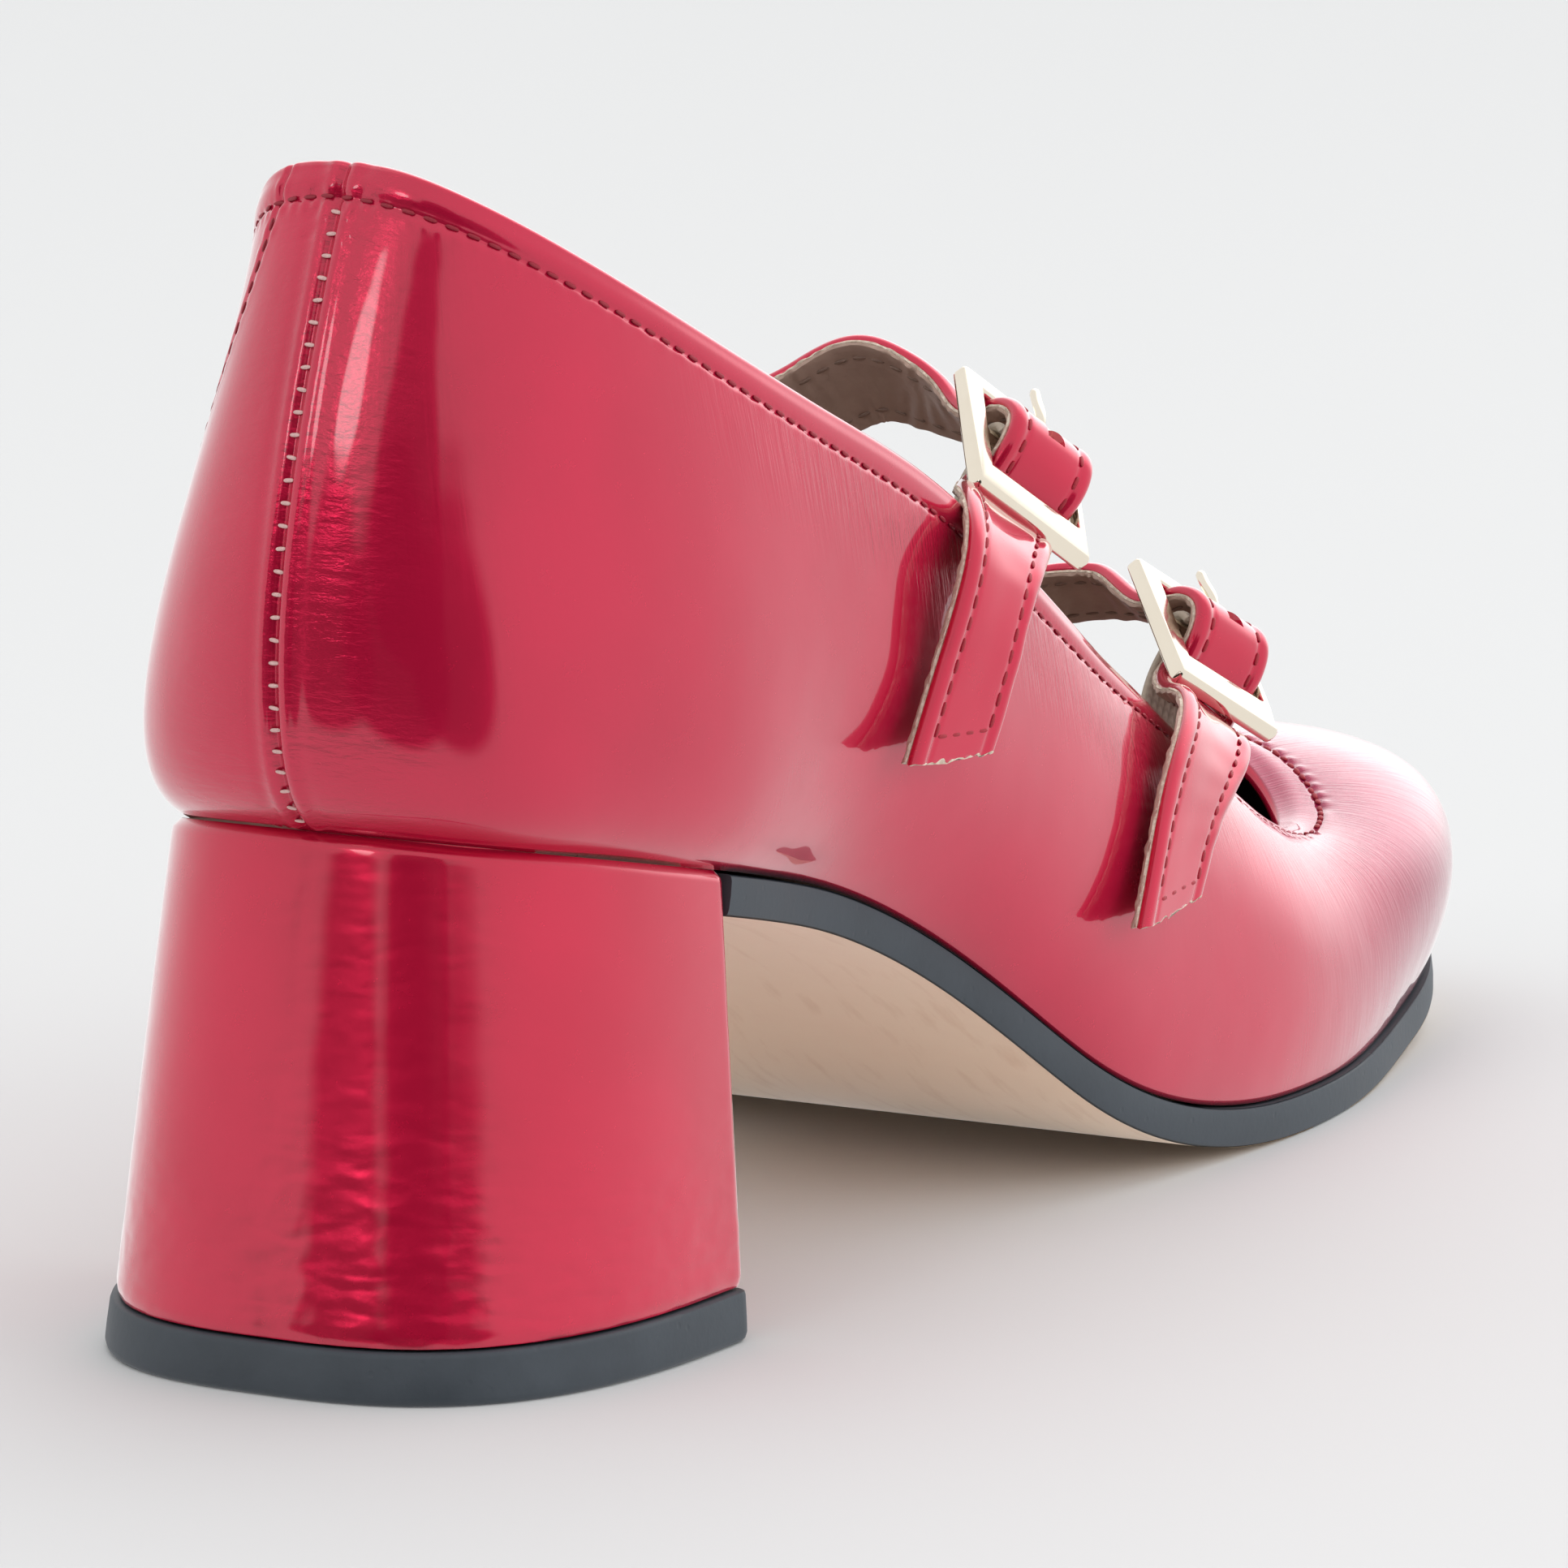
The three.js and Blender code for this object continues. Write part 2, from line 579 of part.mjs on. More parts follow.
function boxBetween(axes, size, along, side, out) {
  const geometry = new THREE.BoxGeometry(size[0], size[1], size[2]);
  const matrix = new THREE.Matrix4().makeBasis(axes.run, axes.across, axes.face);
  geometry.applyMatrix4(matrix);
  const at = buckleToWorld(axes, along, side, out);
  geometry.translate(at.x, at.y, at.z);
  return geometry;
}

function strapRows(strap) {
  const axes = buckleAxes(strap);
  const under = -(FRAME_THICK / 2 + GAP + STRAP_THICK / 2);
  const over = -CENTRE_BAR_DROP + CENTRE_BAR_RADIUS + GAP + 2 * PRONG_RADIUS + GAP + STRAP_THICK / 2;
  const barAt = FRAME_LENGTH / 2 - END_BAR / 2;
  const rows = [];
  for (const row of strap.root) {
    const side = sidePoint(row.x, row.z, 19);
    const depth = WALL + GAP + STRAP_THICK / 2 + row.lift;
    const width = new THREE.Vector3().crossVectors(new THREE.Vector3(-0.4, 0, -0.92), side.normal).normalize();
    rows.push({ point: side.point.clone().addScaledVector(side.normal, -depth), width });
  }
  for (const row of strap.arch) {
    rows.push({ point: new THREE.Vector3(row.x, row.y, row.z), width: widthDirection(row.dip, row.swing) });
  }
  const weave = [
    { along: -barAt - 2.3, side: 0, out: under - 2.9, turn: 0 },
    { along: -barAt + 1.5, side: 0, out: under - 0.4, turn: 0 },
    { along: -2.6, side: 0, out: over * 0.44, turn: 0 },
    { along: 0, side: 0, out: over, turn: 0 },
    { along: 2.6, side: -0.1, out: over * 0.44, turn: 0 },
    { along: barAt - 1.5, side: -0.5, out: under - 0.5, turn: 0.1 },
    { along: barAt + strap.exit.along, side: strap.exit.side, out: under + strap.exit.rise, turn: 0.4 },
  ];
  const tailWidth = widthDirection(strap.tail[0].dip, strap.tail[0].swing);
  for (const step of weave) {
    const point = buckleToWorld(axes, step.along, step.side, step.out);
    rows.push({ point, width: axes.across.clone().lerp(tailWidth, step.turn) });
  }
  for (const row of strap.tail) {
    const side = sidePoint(row.x, row.z, 7);
    const point = side.point.clone().addScaledVector(side.normal, row.lift);
    rows.push({ point, width: widthDirection(row.dip, row.swing) });
  }
  return rows;
}

function buildStrap(strap) {
  const axes = buckleAxes(strap);
  const band = toManifold(bandGeometry(strapRows(strap), STRAP_WIDTH, STRAP_THICK, 64, strap.slant));
  const slot = toManifold(boxBetween(axes, [6.2, 2.4, 12], -3.1, 0, 1));
  return named(`strap_${strap.name}`, fromManifold(band.subtract(slot)), patentMaterial());
}

// ---- Buckles ----
function roundedRectangle(path, halfLength, halfWidth, radius) {
  path.moveTo(-halfLength + radius, -halfWidth);
  path.lineTo(halfLength - radius, -halfWidth);
  path.absarc(halfLength - radius, -halfWidth + radius, radius, -Math.PI / 2, 0, false);
  path.lineTo(halfLength, halfWidth - radius);
  path.absarc(halfLength - radius, halfWidth - radius, radius, 0, Math.PI / 2, false);
  path.lineTo(-halfLength + radius, halfWidth);
  path.absarc(-halfLength + radius, halfWidth - radius, radius, Math.PI / 2, Math.PI, false);
  path.lineTo(-halfLength, -halfWidth + radius);
  path.absarc(-halfLength + radius, -halfWidth + radius, radius, Math.PI, Math.PI * 1.5, false);
}

function buildBuckleFrame(strap) {
  const axes = buckleAxes(strap);
  const shape = new THREE.Shape();
  roundedRectangle(shape, FRAME_LENGTH / 2, FRAME_WIDTH / 2, 2.0);
  const opening = new THREE.Path();
  roundedRectangle(opening, FRAME_LENGTH / 2 - END_BAR, FRAME_WIDTH / 2 - SIDE_BAR, 0.8);
  shape.holes.push(opening);
  const options = { depth: FRAME_THICK - 0.6, bevelEnabled: true, bevelSize: 0.3, bevelThickness: 0.3 };
  const ring = new THREE.ExtrudeGeometry(shape, { ...options, bevelOffset: -0.3, bevelSegments: 1, curveSegments: 4 });
  ring.translate(0, 0, -(FRAME_THICK - 0.6) / 2);
  const barLength = FRAME_WIDTH - SIDE_BAR;
  const bar = new THREE.CylinderGeometry(CENTRE_BAR_RADIUS, CENTRE_BAR_RADIUS, barLength, 12);
  bar.translate(0, 0, -CENTRE_BAR_DROP);
  const joined = fromManifold(toManifold(ring).add(toManifold(bar)));
  joined.applyMatrix4(new THREE.Matrix4().makeBasis(axes.run, axes.across, axes.face));
  joined.translate(axes.centre.x, axes.centre.y, axes.centre.z);
  return named(`buckle_frame_${strap.name}`, joined, buckleMaterial());
}

// The prong: a hook round the centre bar and a straight arm whose tip rests over the far bar.
function buildProng(strap) {
  const axes = buckleAxes(strap);
  const hook = CENTRE_BAR_RADIUS + GAP + PRONG_RADIUS;
  const path = [];
  for (let i = 0; i <= 10; i += 1) {
    const turn = THREE.MathUtils.degToRad(-170 + 26 * i);
    path.push([hook * Math.cos(turn), hook * Math.sin(turn) - CENTRE_BAR_DROP]);
  }
  const tip = FRAME_LENGTH / 2 + 0.9;
  const rest = FRAME_THICK / 2 + GAP + PRONG_RADIUS;
  path.push([-2.6, hook - CENTRE_BAR_DROP + 0.45], [-5, rest + 0.25], [-tip + 2, rest + 0.05], [-tip, rest - 0.05]);
  const spine = new THREE.CatmullRomCurve3(path.map(([a, n]) => buckleToWorld(axes, a, 0, n)), false, 'centripetal');
  const sides = 8;
  const steps = 22;
  const rings = [];
  for (let i = 0; i <= steps; i += 1) {
    const middle = spine.getPoint(i / steps);
    const tangent = spine.getTangent(i / steps);
    const normal = new THREE.Vector3().crossVectors(tangent, axes.across).normalize();
    const ring = [];
    for (let k = 0; k < sides; k += 1) {
      const angle = (2 * Math.PI * (k + 0.5)) / sides;
      const point = middle.clone().addScaledVector(axes.across, Math.cos(angle) * PRONG_RADIUS);
      ring.push(point.addScaledVector(normal, Math.sin(angle) * PRONG_RADIUS));
    }
    rings.push(ring);
  }
  const points = rings.flat();
  const triangles = [];
  for (let r = 0; r < steps; r += 1) {
    for (let k = 0; k < sides; k += 1) {
      const j = (k + 1) % sides;
      quad(triangles, r * sides + k, r * sides + j, (r + 1) * sides + j, (r + 1) * sides + k);
    }
  }
  for (let k = 1; k + 1 < sides; k += 1) {
    triangles.push([0, k + 1, k]);
    triangles.push([steps * sides, steps * sides + k, steps * sides + k + 1]);
  }
  return named(`buckle_prong_${strap.name}`, meshFromTriangles(points, triangles), buckleMaterial());
}

// ---- Elastic ----
function elasticRows(strap) {
  const axes = buckleAxes(strap);
  const rows = [];
  const wrap = CENTRE_BAR_RADIUS + GAP + ELASTIC_THICK / 2;
  for (const row of strap.elastic) {
    const side = sidePoint(row.x, row.z, 7);
    const depth = WALL + GAP + ELASTIC_THICK / 2 + row.lift;
    const down = new THREE.Vector3(-0.5, 0, -0.87);
    const width = new THREE.Vector3().crossVectors(side.normal, down).normalize();
    rows.push({ point: side.point.clone().addScaledVector(side.normal, -depth), width });
  }
  rows.push({ point: buckleToWorld(axes, 1.8, 0, -3.8), width: axes.across.clone() });
  for (let i = 0; i <= 6; i += 1) {
    const turn = THREE.MathUtils.degToRad(-80 - 32 * i);
    const out = wrap * Math.sin(turn) - CENTRE_BAR_DROP;
    rows.push({ point: buckleToWorld(axes, wrap * Math.cos(turn), 0, out), width: axes.across.clone() });
  }
  return rows;
}

function buildElastic(strap) {
  const axes = buckleAxes(strap);
  const band = toManifold(bandGeometry(elasticRows(strap), ELASTIC_WIDTH, ELASTIC_THICK, 36, 0));
  const notch = toManifold(boxBetween(axes, [9, 2 * PRONG_RADIUS + 2 * GAP, 12], -2.4, 0, 2));
  return named(`elastic_${strap.name}`, fromManifold(band.subtract(notch)), elasticMaterial());
}

function buildShoe() {
  const shoe = new THREE.Group();
  shoe.name = 'mary_jane_shoe';
  shoe.add(buildUpper());
  shoe.add(buildInsole());
  shoe.add(buildOutsole());
  shoe.add(buildHeel());
  shoe.add(buildTopPiece());
  for (const strap of [REAR_STRAP, FRONT_STRAP]) {
    shoe.add(buildStrap(strap));
    shoe.add(buildBuckleFrame(strap));
    shoe.add(buildProng(strap));
    shoe.add(buildElastic(strap));
  }
  const box = new THREE.Box3().setFromObject(shoe);
  const middle = box.getCenter(new THREE.Vector3());
  for (const mesh of shoe.children) {
    mesh.geometry.translate(-middle.x, -middle.y, -box.min.z);
  }
  return shoe;
}

export default buildShoe();
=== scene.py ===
"""A right-foot patent leather mary jane with two buckled straps on a flared block heel.

Sizes are in millimetres in the shoe's own frame: toe along +X, medial side +Y, up +Z.
They become metres only when a mesh is written.
"""

import logging
import math
from dataclasses import dataclass, field
from enum import Enum
from typing import Callable, Sequence

import bmesh
import bpy
import numpy as np
from mathutils import Matrix, Vector

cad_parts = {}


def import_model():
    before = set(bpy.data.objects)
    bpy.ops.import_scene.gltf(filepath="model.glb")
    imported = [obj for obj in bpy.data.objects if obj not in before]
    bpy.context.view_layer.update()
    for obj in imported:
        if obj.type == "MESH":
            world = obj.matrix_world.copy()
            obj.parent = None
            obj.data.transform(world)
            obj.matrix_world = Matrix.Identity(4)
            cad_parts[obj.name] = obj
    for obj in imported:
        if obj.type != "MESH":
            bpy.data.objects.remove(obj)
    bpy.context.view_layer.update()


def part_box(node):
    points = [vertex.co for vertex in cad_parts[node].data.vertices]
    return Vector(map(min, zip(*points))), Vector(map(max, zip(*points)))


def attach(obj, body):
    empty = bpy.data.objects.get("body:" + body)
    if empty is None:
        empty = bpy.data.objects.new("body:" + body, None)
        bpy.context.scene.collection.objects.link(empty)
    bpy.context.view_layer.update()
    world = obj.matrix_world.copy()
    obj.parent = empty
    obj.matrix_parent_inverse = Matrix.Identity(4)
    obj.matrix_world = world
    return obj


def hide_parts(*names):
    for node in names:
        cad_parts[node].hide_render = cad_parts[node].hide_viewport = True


LOG = logging.getLogger("shoe")
MM = 0.001
Array = np.ndarray
SEAT_HEIGHT = 43.2      # heel seat at the breast
SEAT_RISE = 0.2012      # its rise for each millimetre towards the back
HEEL_HEIGHT = 47        # height over which the heel's outline changes
HEEL_LOOP = (190, 70, 1.7)  # points round the back, points along the breast, corner radius
LATERAL_START, MEDIAL_START = 7, 19  # sections where a search on either side of the foot starts
STITCH_PITCH = 2.15
THROAT_PITCH = 1.5
SEAM_PITCH = 2.1


# ---------------------------------------------------------------- curves
def ring_curve(values: Sequence[float]) -> Callable[[Array], Array]:
    """Make a closed cubic curve through one value for each section.

    Args:
        values: One value for each section of the ring.

    Returns:
        A function of u, one unit for each section.
    """
    goal = np.array(values, float)
    knots = goal.copy()
    for _ in range(60):
        knots = (6 * goal - np.roll(knots, 1) - np.roll(knots, -1)) / 4

    def curve(u: Array) -> Array:
        """Return the value of the closed curve at u."""
        u = np.asarray(u, float)
        cell = np.floor(u).astype(int)
        t = u - cell
        s = 1 - t
        near = [knots[(cell + k) % len(knots)] for k in (-1, 0, 1, 2)]
        first = s**3 * near[0] + (3 * t**3 - 6 * t**2 + 4) * near[1]
        return (first + (3 * s**3 - 6 * s**2 + 4) * near[2] + t**3 * near[3]) / 6

    return curve


def open_curve(xs: Sequence[float], ys: Sequence[float]) -> Callable[[Array], Array]:
    """Make a natural cubic curve through points.

    Args:
        xs: Rising positions of the points.
        ys: Their values.

    Returns:
        A function of x.
    """
    xs, ys = np.array(xs, float), np.array(ys, float)
    last = len(xs) - 1
    bend, work = np.zeros(last + 1), np.zeros(last + 1)
    for i in range(1, last):
        ratio = (xs[i] - xs[i - 1]) / (xs[i + 1] - xs[i - 1])
        scale = ratio * bend[i - 1] + 2
        rise = (ys[i + 1] - ys[i]) / (xs[i + 1] - xs[i]) - (ys[i] - ys[i - 1]) / (xs[i] - xs[i - 1])
        bend[i] = (ratio - 1) / scale
        work[i] = (6 * rise / (xs[i + 1] - xs[i - 1]) - ratio * work[i - 1]) / scale
    for i in range(last - 1, -1, -1):
        bend[i] = bend[i] * bend[i + 1] + work[i]

    def curve(x: Array) -> Array:
        """Return the value of the open curve at x."""
        x = np.asarray(x, float)
        i = np.clip(np.searchsorted(xs, x, side="left") - 1, 0, last - 1)
        span = xs[i + 1] - xs[i]
        a = (xs[i + 1] - x) / span
        b = (x - xs[i]) / span
        curl = (a**3 - a) * bend[i] + (b**3 - b) * bend[i + 1]
        return a * ys[i] + b * ys[i + 1] + curl * span**2 / 6

    return curve


def unit(v: Array) -> Array:
    """Return vectors scaled to length one."""
    return v / np.maximum(np.linalg.norm(v, axis=-1, keepdims=True), 1e-12)


def smooth(x: Array, low: float, high: float) -> Array:
    """Return a soft step from 0 at low to 1 at high."""
    t = np.clip((np.asarray(x, float) - low) / (high - low), 0, 1)
    return t * t * (3 - 2 * t)


def hump(x: Array, middle: float, width: float) -> Array:
    """Return a soft bump of height one centred on middle."""
    return np.exp(-(((np.asarray(x, float) - middle) / width) ** 2))


# ---------------------------------------------------------------- the last and its upper
LAST_BOTTOM = [  # x, z
    (-8, 53.2), (16, 48.35), (41.6, 43.2), (55, 40.3), (66, 37.5), (77, 33.5), (88, 27.9), (99, 20.6),
    (109, 13.6), (119, 8.8), (130, 5.8), (142, 4.3), (152, 4.0), (163, 4.0), (178, 4.6), (194, 5.7),
    (210, 7.6), (232, 11.6),
]

SECTION_COLUMNS = ("fx", "fy", "tx", "ty", "tz", "out1", "up1", "out2", "down2")
SECTIONS = [  # one row for each section round the foot, back seam first, then lateral, toe, medial
    (4.8, 0, 10.2, -0.8, 112, 12.8, 5.4, 11, 24),
    (9.3, -14, 10.6, -9.3, 110.6, 12, 5.5, 8, 24),
    (22, -20.3, 18, -17.6, 105.2, 10, 6, 6, 23),
    (41, -23.3, 33, -23.5, 96.5, 8.5, 7, 5, 21),
    (61, -21.6, 53, -26.3, 86.8, 8, 9, 3.5, 19),
    (80, -22.2, 75, -27, 77.3, 8.5, 9, 2.5, 17),
    (97, -25.6, 96, -26.6, 66, 7, 10, 2.5, 15),
    (113, -29.9, 115, -25.4, 55, 3.5, 11, 4.5, 12),
    (131, -32.2, 134, -23.3, 45.6, 3, 12, 6.5, 9),
    (150, -32.9, 151, -21.9, 36.2, 3, 12, 8.5, 6),
    (170, -30.6, 166, -19.8, 29.1, 3, 12, 9.5, 2.5),
    (190, -25.8, 177.6, -16.9, 26.4, 6, 14, 12.5, -1),
    (211, -18.5, 186, -11.2, 29, 8, 16, 18, -1.6),
    (228.5, -1, 190, -3.2, 32.6, 7, 16, 24.5, -0.9),
    (216, 17, 185.8, 5.8, 34, 5, 15, 19.5, 1),
    (200, 28, 175.5, 13.6, 34, 3.2, 13, 14, 1),
    (183, 35.6, 164, 19.3, 36.6, 3, 12, 11, 3),
    (165, 39.4, 150, 22.8, 41.5, 2.5, 12, 9.5, 6),
    (146, 38.8, 133, 24.8, 48.5, 2.5, 12, 8, 9),
    (126, 34, 115, 26.2, 57.5, 2.5, 12, 6, 12),
    (106, 27.2, 96, 27, 68, 4.5, 11, 4, 15),
    (86, 21.9, 75, 26.9, 79, 7, 10, 3, 17),
    (64, 20.4, 53.5, 25.8, 88.5, 8, 9, 3.5, 19),
    (41, 23.8, 33, 20.6, 97.5, 9, 7, 3.5, 21),
    (22, 21.2, 18.4, 13.6, 105.8, 11, 6, 3, 23),
    (9.3, 14.8, 11.2, 7, 110.8, 12, 5.5, 5.5, 24),
]


@dataclass
class ShoeForm:
    """The shape that every piece shares: last bottom, upper surface and heel outlines."""

    gap: float = 0.3
    wall: float = 1.7
    breast_x: float = 41.6
    curves: dict[str, Callable[[Array], Array]] = field(default_factory=dict)
    shift: Array = field(default_factory=lambda: np.zeros(3))

    def __post_init__(self) -> None:
        """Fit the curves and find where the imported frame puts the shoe."""
        for k, column in enumerate(SECTION_COLUMNS):
            self.curves[column] = ring_curve([row[k] for row in SECTIONS])
        xs, zs = zip(*LAST_BOTTOM)
        self.bottom_curve = open_curve(xs, zs)
        low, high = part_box("top_piece")
        self.shift = np.array([-6.66 - low[0] / MM, -0.874 - (low[1] + high[1]) / 2 / MM, 0.0])

    def bottom(self, x: Array) -> Array:
        """Return the height of the outsole top and heel seat at x."""
        x = np.asarray(x, float)
        seat = SEAT_HEIGHT + (self.breast_x - x) * SEAT_RISE
        return np.where(x < self.breast_x, seat, self.bottom_curve(np.maximum(x, self.breast_x)))

    def plan_out(self, u: Array, cx: str, cy: str) -> tuple[Array, Array]:
        """Return the plan direction away from the foot at u, on one of the two outlines."""
        dx = self.curves[cx](u + 0.01) - self.curves[cx](u - 0.01)
        dy = self.curves[cy](u + 0.01) - self.curves[cy](u - 0.01)
        size = np.hypot(dx, dy)
        return dy / size, -dx / size

    def outside(self, u: Array, h: Array) -> Array:
        """Work out points on the outer face of the upper.

        Args:
            u: Position round the foot, one unit for each section.
            h: 0 at the feather line, 1 at the topline.

        Returns:
            Points in millimetres, with a last axis of three.
        """
        u, h = np.broadcast_arrays(np.asarray(u, float), np.asarray(h, float))
        c = {name: curve(u) for name, curve in self.curves.items()}
        lx, ly = self.plan_out(u, "fx", "fy")
        hx, hy = self.plan_out(u, "tx", "ty")
        fz = self.bottom(c["fx"]) + self.gap
        p0 = np.stack([c["fx"], c["fy"], fz], -1)
        p1 = np.stack([c["fx"] + lx * c["out1"], c["fy"] + ly * c["out1"], fz + c["up1"]], -1)
        p2 = np.stack([c["tx"] + hx * c["out2"], c["ty"] + hy * c["out2"], c["tz"] - c["down2"]], -1)
        p3 = np.stack([c["tx"], c["ty"], c["tz"]], -1)
        g, k = (1 - h)[..., None], h[..., None]
        return p0 * g**3 + 3 * p1 * g**2 * k + 3 * p2 * g * k**2 + p3 * k**3

    def normal(self, u: Array, h: Array) -> Array:
        """Return outward unit normals of the upper's outer face."""
        step = 0.004
        u, h = np.broadcast_arrays(np.asarray(u, float), np.asarray(h, float))
        along = self.outside(u + step, h) - self.outside(u - step, h)
        rise = self.outside(u, np.clip(h + step, 0, 1)) - self.outside(u, np.clip(h - step, 0, 1))
        return unit(np.cross(along, rise))

    def side_point(self, x: float, z: float, start: float) -> tuple[Array, Array]:
        """Find the point and normal of the outer face at a given x and z.

        Args:
            x: Distance along the shoe.
            z: Height.
            start: Position round the foot where the search starts.

        Returns:
            The point and its outward normal.
        """
        u, h = start, 0.6
        for _ in range(30):
            here = self.outside(u, h)
            du = (self.outside(u + 0.01, h) - here) * 100
            dh = (self.outside(u, h + 0.01) - here) * 100
            mx, mz = x - here[0], z - here[2]
            det = du[0] * dh[2] - dh[0] * du[2]
            u = float(np.clip(u + np.clip((mx * dh[2] - dh[0] * mz) / det, -0.8, 0.8), start - 7, start + 7))
            h = float(np.clip(h + np.clip((du[0] * mz - mx * du[2]) / det, -0.2, 0.2), 0.02, 1))
        return self.outside(u, h), self.normal(u, h)


# ---------------------------------------------------------------- mesh making
def grid_faces(rows: int, cols: int, wrap: bool) -> Array:
    """List the quads of a grid of points.

    Args:
        rows: Number of rows of points.
        cols: Number of points in a row.
        wrap: Whether each row closes on itself.

    Returns:
        One row of four point numbers for each quad.
    """
    r, c = np.meshgrid(np.arange(rows - 1), np.arange(cols if wrap else cols - 1), indexing="ij")
    a = r * cols + c
    b = r * cols + (c + 1) % cols
    return np.stack([a, b, b + cols, a + cols], -1).reshape(-1, 4)


class Workbench:
    """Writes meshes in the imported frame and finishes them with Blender's operators."""

    def __init__(self, form: ShoeForm) -> None:
        """Keep the shoe's form, whose shift places every mesh."""
        self.form = form

    def mesh(self, name: str, points: Array, faces: Sequence, finishes: Sequence["bpy.types.Material"],
             ids: Array | None = None, uv: Array | None = None,
             marks: dict[str, Array] | None = None) -> bpy.types.Object:
        """Write one object from points and faces.

        Args:
            name: Object name.
            points: Points in millimetres in the shoe's own frame.
            faces: Point numbers of each face, turning outwards.
            finishes: Materials, in slot order.
            ids: Material slot of each face.
            uv: Two numbers for each face corner.
            marks: Named numbers for each point, read by the finishes.

        Returns:
            The new object, with its place in its mesh.
        """
        data = bpy.data.meshes.new(name)
        place = (np.asarray(points, float).reshape(-1, 3) - self.form.shift) * MM
        data.from_pydata(place.tolist(), [], [list(map(int, f)) for f in faces])
        for finish in finishes:
            data.materials.append(finish)
        if ids is not None:
            data.polygons.foreach_set("material_index", np.asarray(ids, np.int32))
        data.polygons.foreach_set("use_smooth", np.ones(len(data.polygons), bool))
        if uv is not None:
            layer = data.uv_layers.new(name="surface")
            layer.data.foreach_set("uv", np.asarray(uv, np.float32).ravel())
        for mark, values in (marks or {}).items():
            attribute = data.attributes.new(mark, "FLOAT", "POINT")
            attribute.data.foreach_set("value", np.asarray(values, np.float32).ravel())
        data.update()
        piece = bpy.data.objects.new(name, data)
        bpy.context.collection.objects.link(piece)
        return piece

    def only(self, piece: bpy.types.Object) -> None:
        """Make a piece the only selected and active object."""
        bpy.ops.object.select_all(action="DESELECT")
        piece.select_set(True)
        bpy.context.view_layer.objects.active = piece

    def facing_out(self, piece: bpy.types.Object) -> None:
        """Merge doubles and turn all faces of a closed piece outwards."""
        self.only(piece)
        bpy.ops.object.mode_set(mode="EDIT")
        bpy.ops.mesh.select_all(action="SELECT")
        bpy.ops.mesh.remove_doubles(threshold=1e-6)
        bpy.ops.mesh.normals_make_consistent(inside=False)
        bpy.ops.object.mode_set(mode="OBJECT")

    def smooth(self, piece: bpy.types.Object, angle: float) -> None:
        """Shade a piece smooth but for edges sharper than an angle in degrees."""
        self.only(piece)
        bpy.ops.object.shade_smooth_by_angle(angle=math.radians(angle))

    def cut(self, piece: bpy.types.Object, cutter: bpy.types.Object) -> None:
        """Cut one closed piece with another, and throw the cutter away."""
        self.only(piece)
        tool = piece.modifiers.new("cut", "BOOLEAN")
        tool.operation = "DIFFERENCE"
        tool.solver = "EXACT"
        tool.object = cutter
        bpy.ops.object.modifier_apply(modifier=tool.name)
        bpy.data.objects.remove(cutter, do_unlink=True)

    def fix(self, piece: bpy.types.Object, slot: str, nodes: Sequence[str] = ()) -> None:
        """Fasten a piece to the shoe and hide the CAD nodes it stands for."""
        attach(piece, "root")
        if nodes:
            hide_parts(*nodes)
        LOG.info("%s: %d faces", piece.name, len(piece.data.polygons))

    def block(self, axes: "BuckleAxes", size: Sequence[float], at: Sequence[float]) -> bpy.types.Object:
        """Add a box in a buckle's own directions, to cut with."""
        bpy.ops.object.select_all(action="DESELECT")
        bpy.ops.mesh.primitive_cube_add(size=1)
        box = bpy.context.active_object
        box.data.transform(Matrix.Diagonal((*size, 1)))
        box.data.transform(Matrix.Translation(at))
        box.data.transform(axes.matrix(self.form.shift))
        return box


class StitchRow:
    """Short threads, one small capsule for each stitch, written as one mesh."""

    flat = 0.7  # height of a stitch as a share of its thickness

    def __init__(self, bench: Workbench) -> None:
        """Model one stitch from a sphere and keep its points and faces."""
        self.bench = bench
        bpy.ops.object.select_all(action="DESELECT")
        bpy.ops.mesh.primitive_uv_sphere_add(segments=8, ring_count=6, radius=1)
        one = bpy.context.active_object
        bpy.ops.object.mode_set(mode="EDIT")
        bpy.ops.mesh.select_all(action="SELECT")
        bpy.ops.transform.rotate(value=math.pi / 2, orient_axis="Y", center_override=(0, 0, 0))
        bpy.ops.object.mode_set(mode="OBJECT")
        self.shape = np.array([v.co[:] for v in one.data.vertices])
        self.faces = [list(f.vertices) for f in one.data.polygons]
        bpy.data.objects.remove(one, do_unlink=True)

    def sew(self, name: str, at: Array, run: Array, out: Array, length: float, thick: float,
            finish: bpy.types.Material) -> bpy.types.Object:
        """Lay stitches along a seam.

        Args:
            name: Object name.
            at: Middle of each stitch, in millimetres.
            run: Direction of each stitch.
            out: Outward direction at each stitch.
            length: Length of a stitch.
            thick: Thickness of the thread.
            finish: Thread material.

        Returns:
            The joined stitches.
        """
        run = unit(run)
        out = unit(out - run * np.sum(out * run, -1, keepdims=True))
        side = np.cross(out, run)
        s = self.shape
        body = np.sign(s[:, 0]) * np.abs(s[:, 0]) ** 0.7 * length / 2
        points = (at[:, None] + run[:, None] * body[None, :, None]
                  + side[:, None] * (s[:, 1] * thick / 2)[None, :, None]
                  + out[:, None] * (s[:, 2] * thick / 2 * self.flat)[None, :, None])
        count = len(s)
        faces = [[v + i * count for v in f] for i in range(len(at)) for f in self.faces]
        return self.bench.mesh(name, points.reshape(-1, 3), faces, [finish])


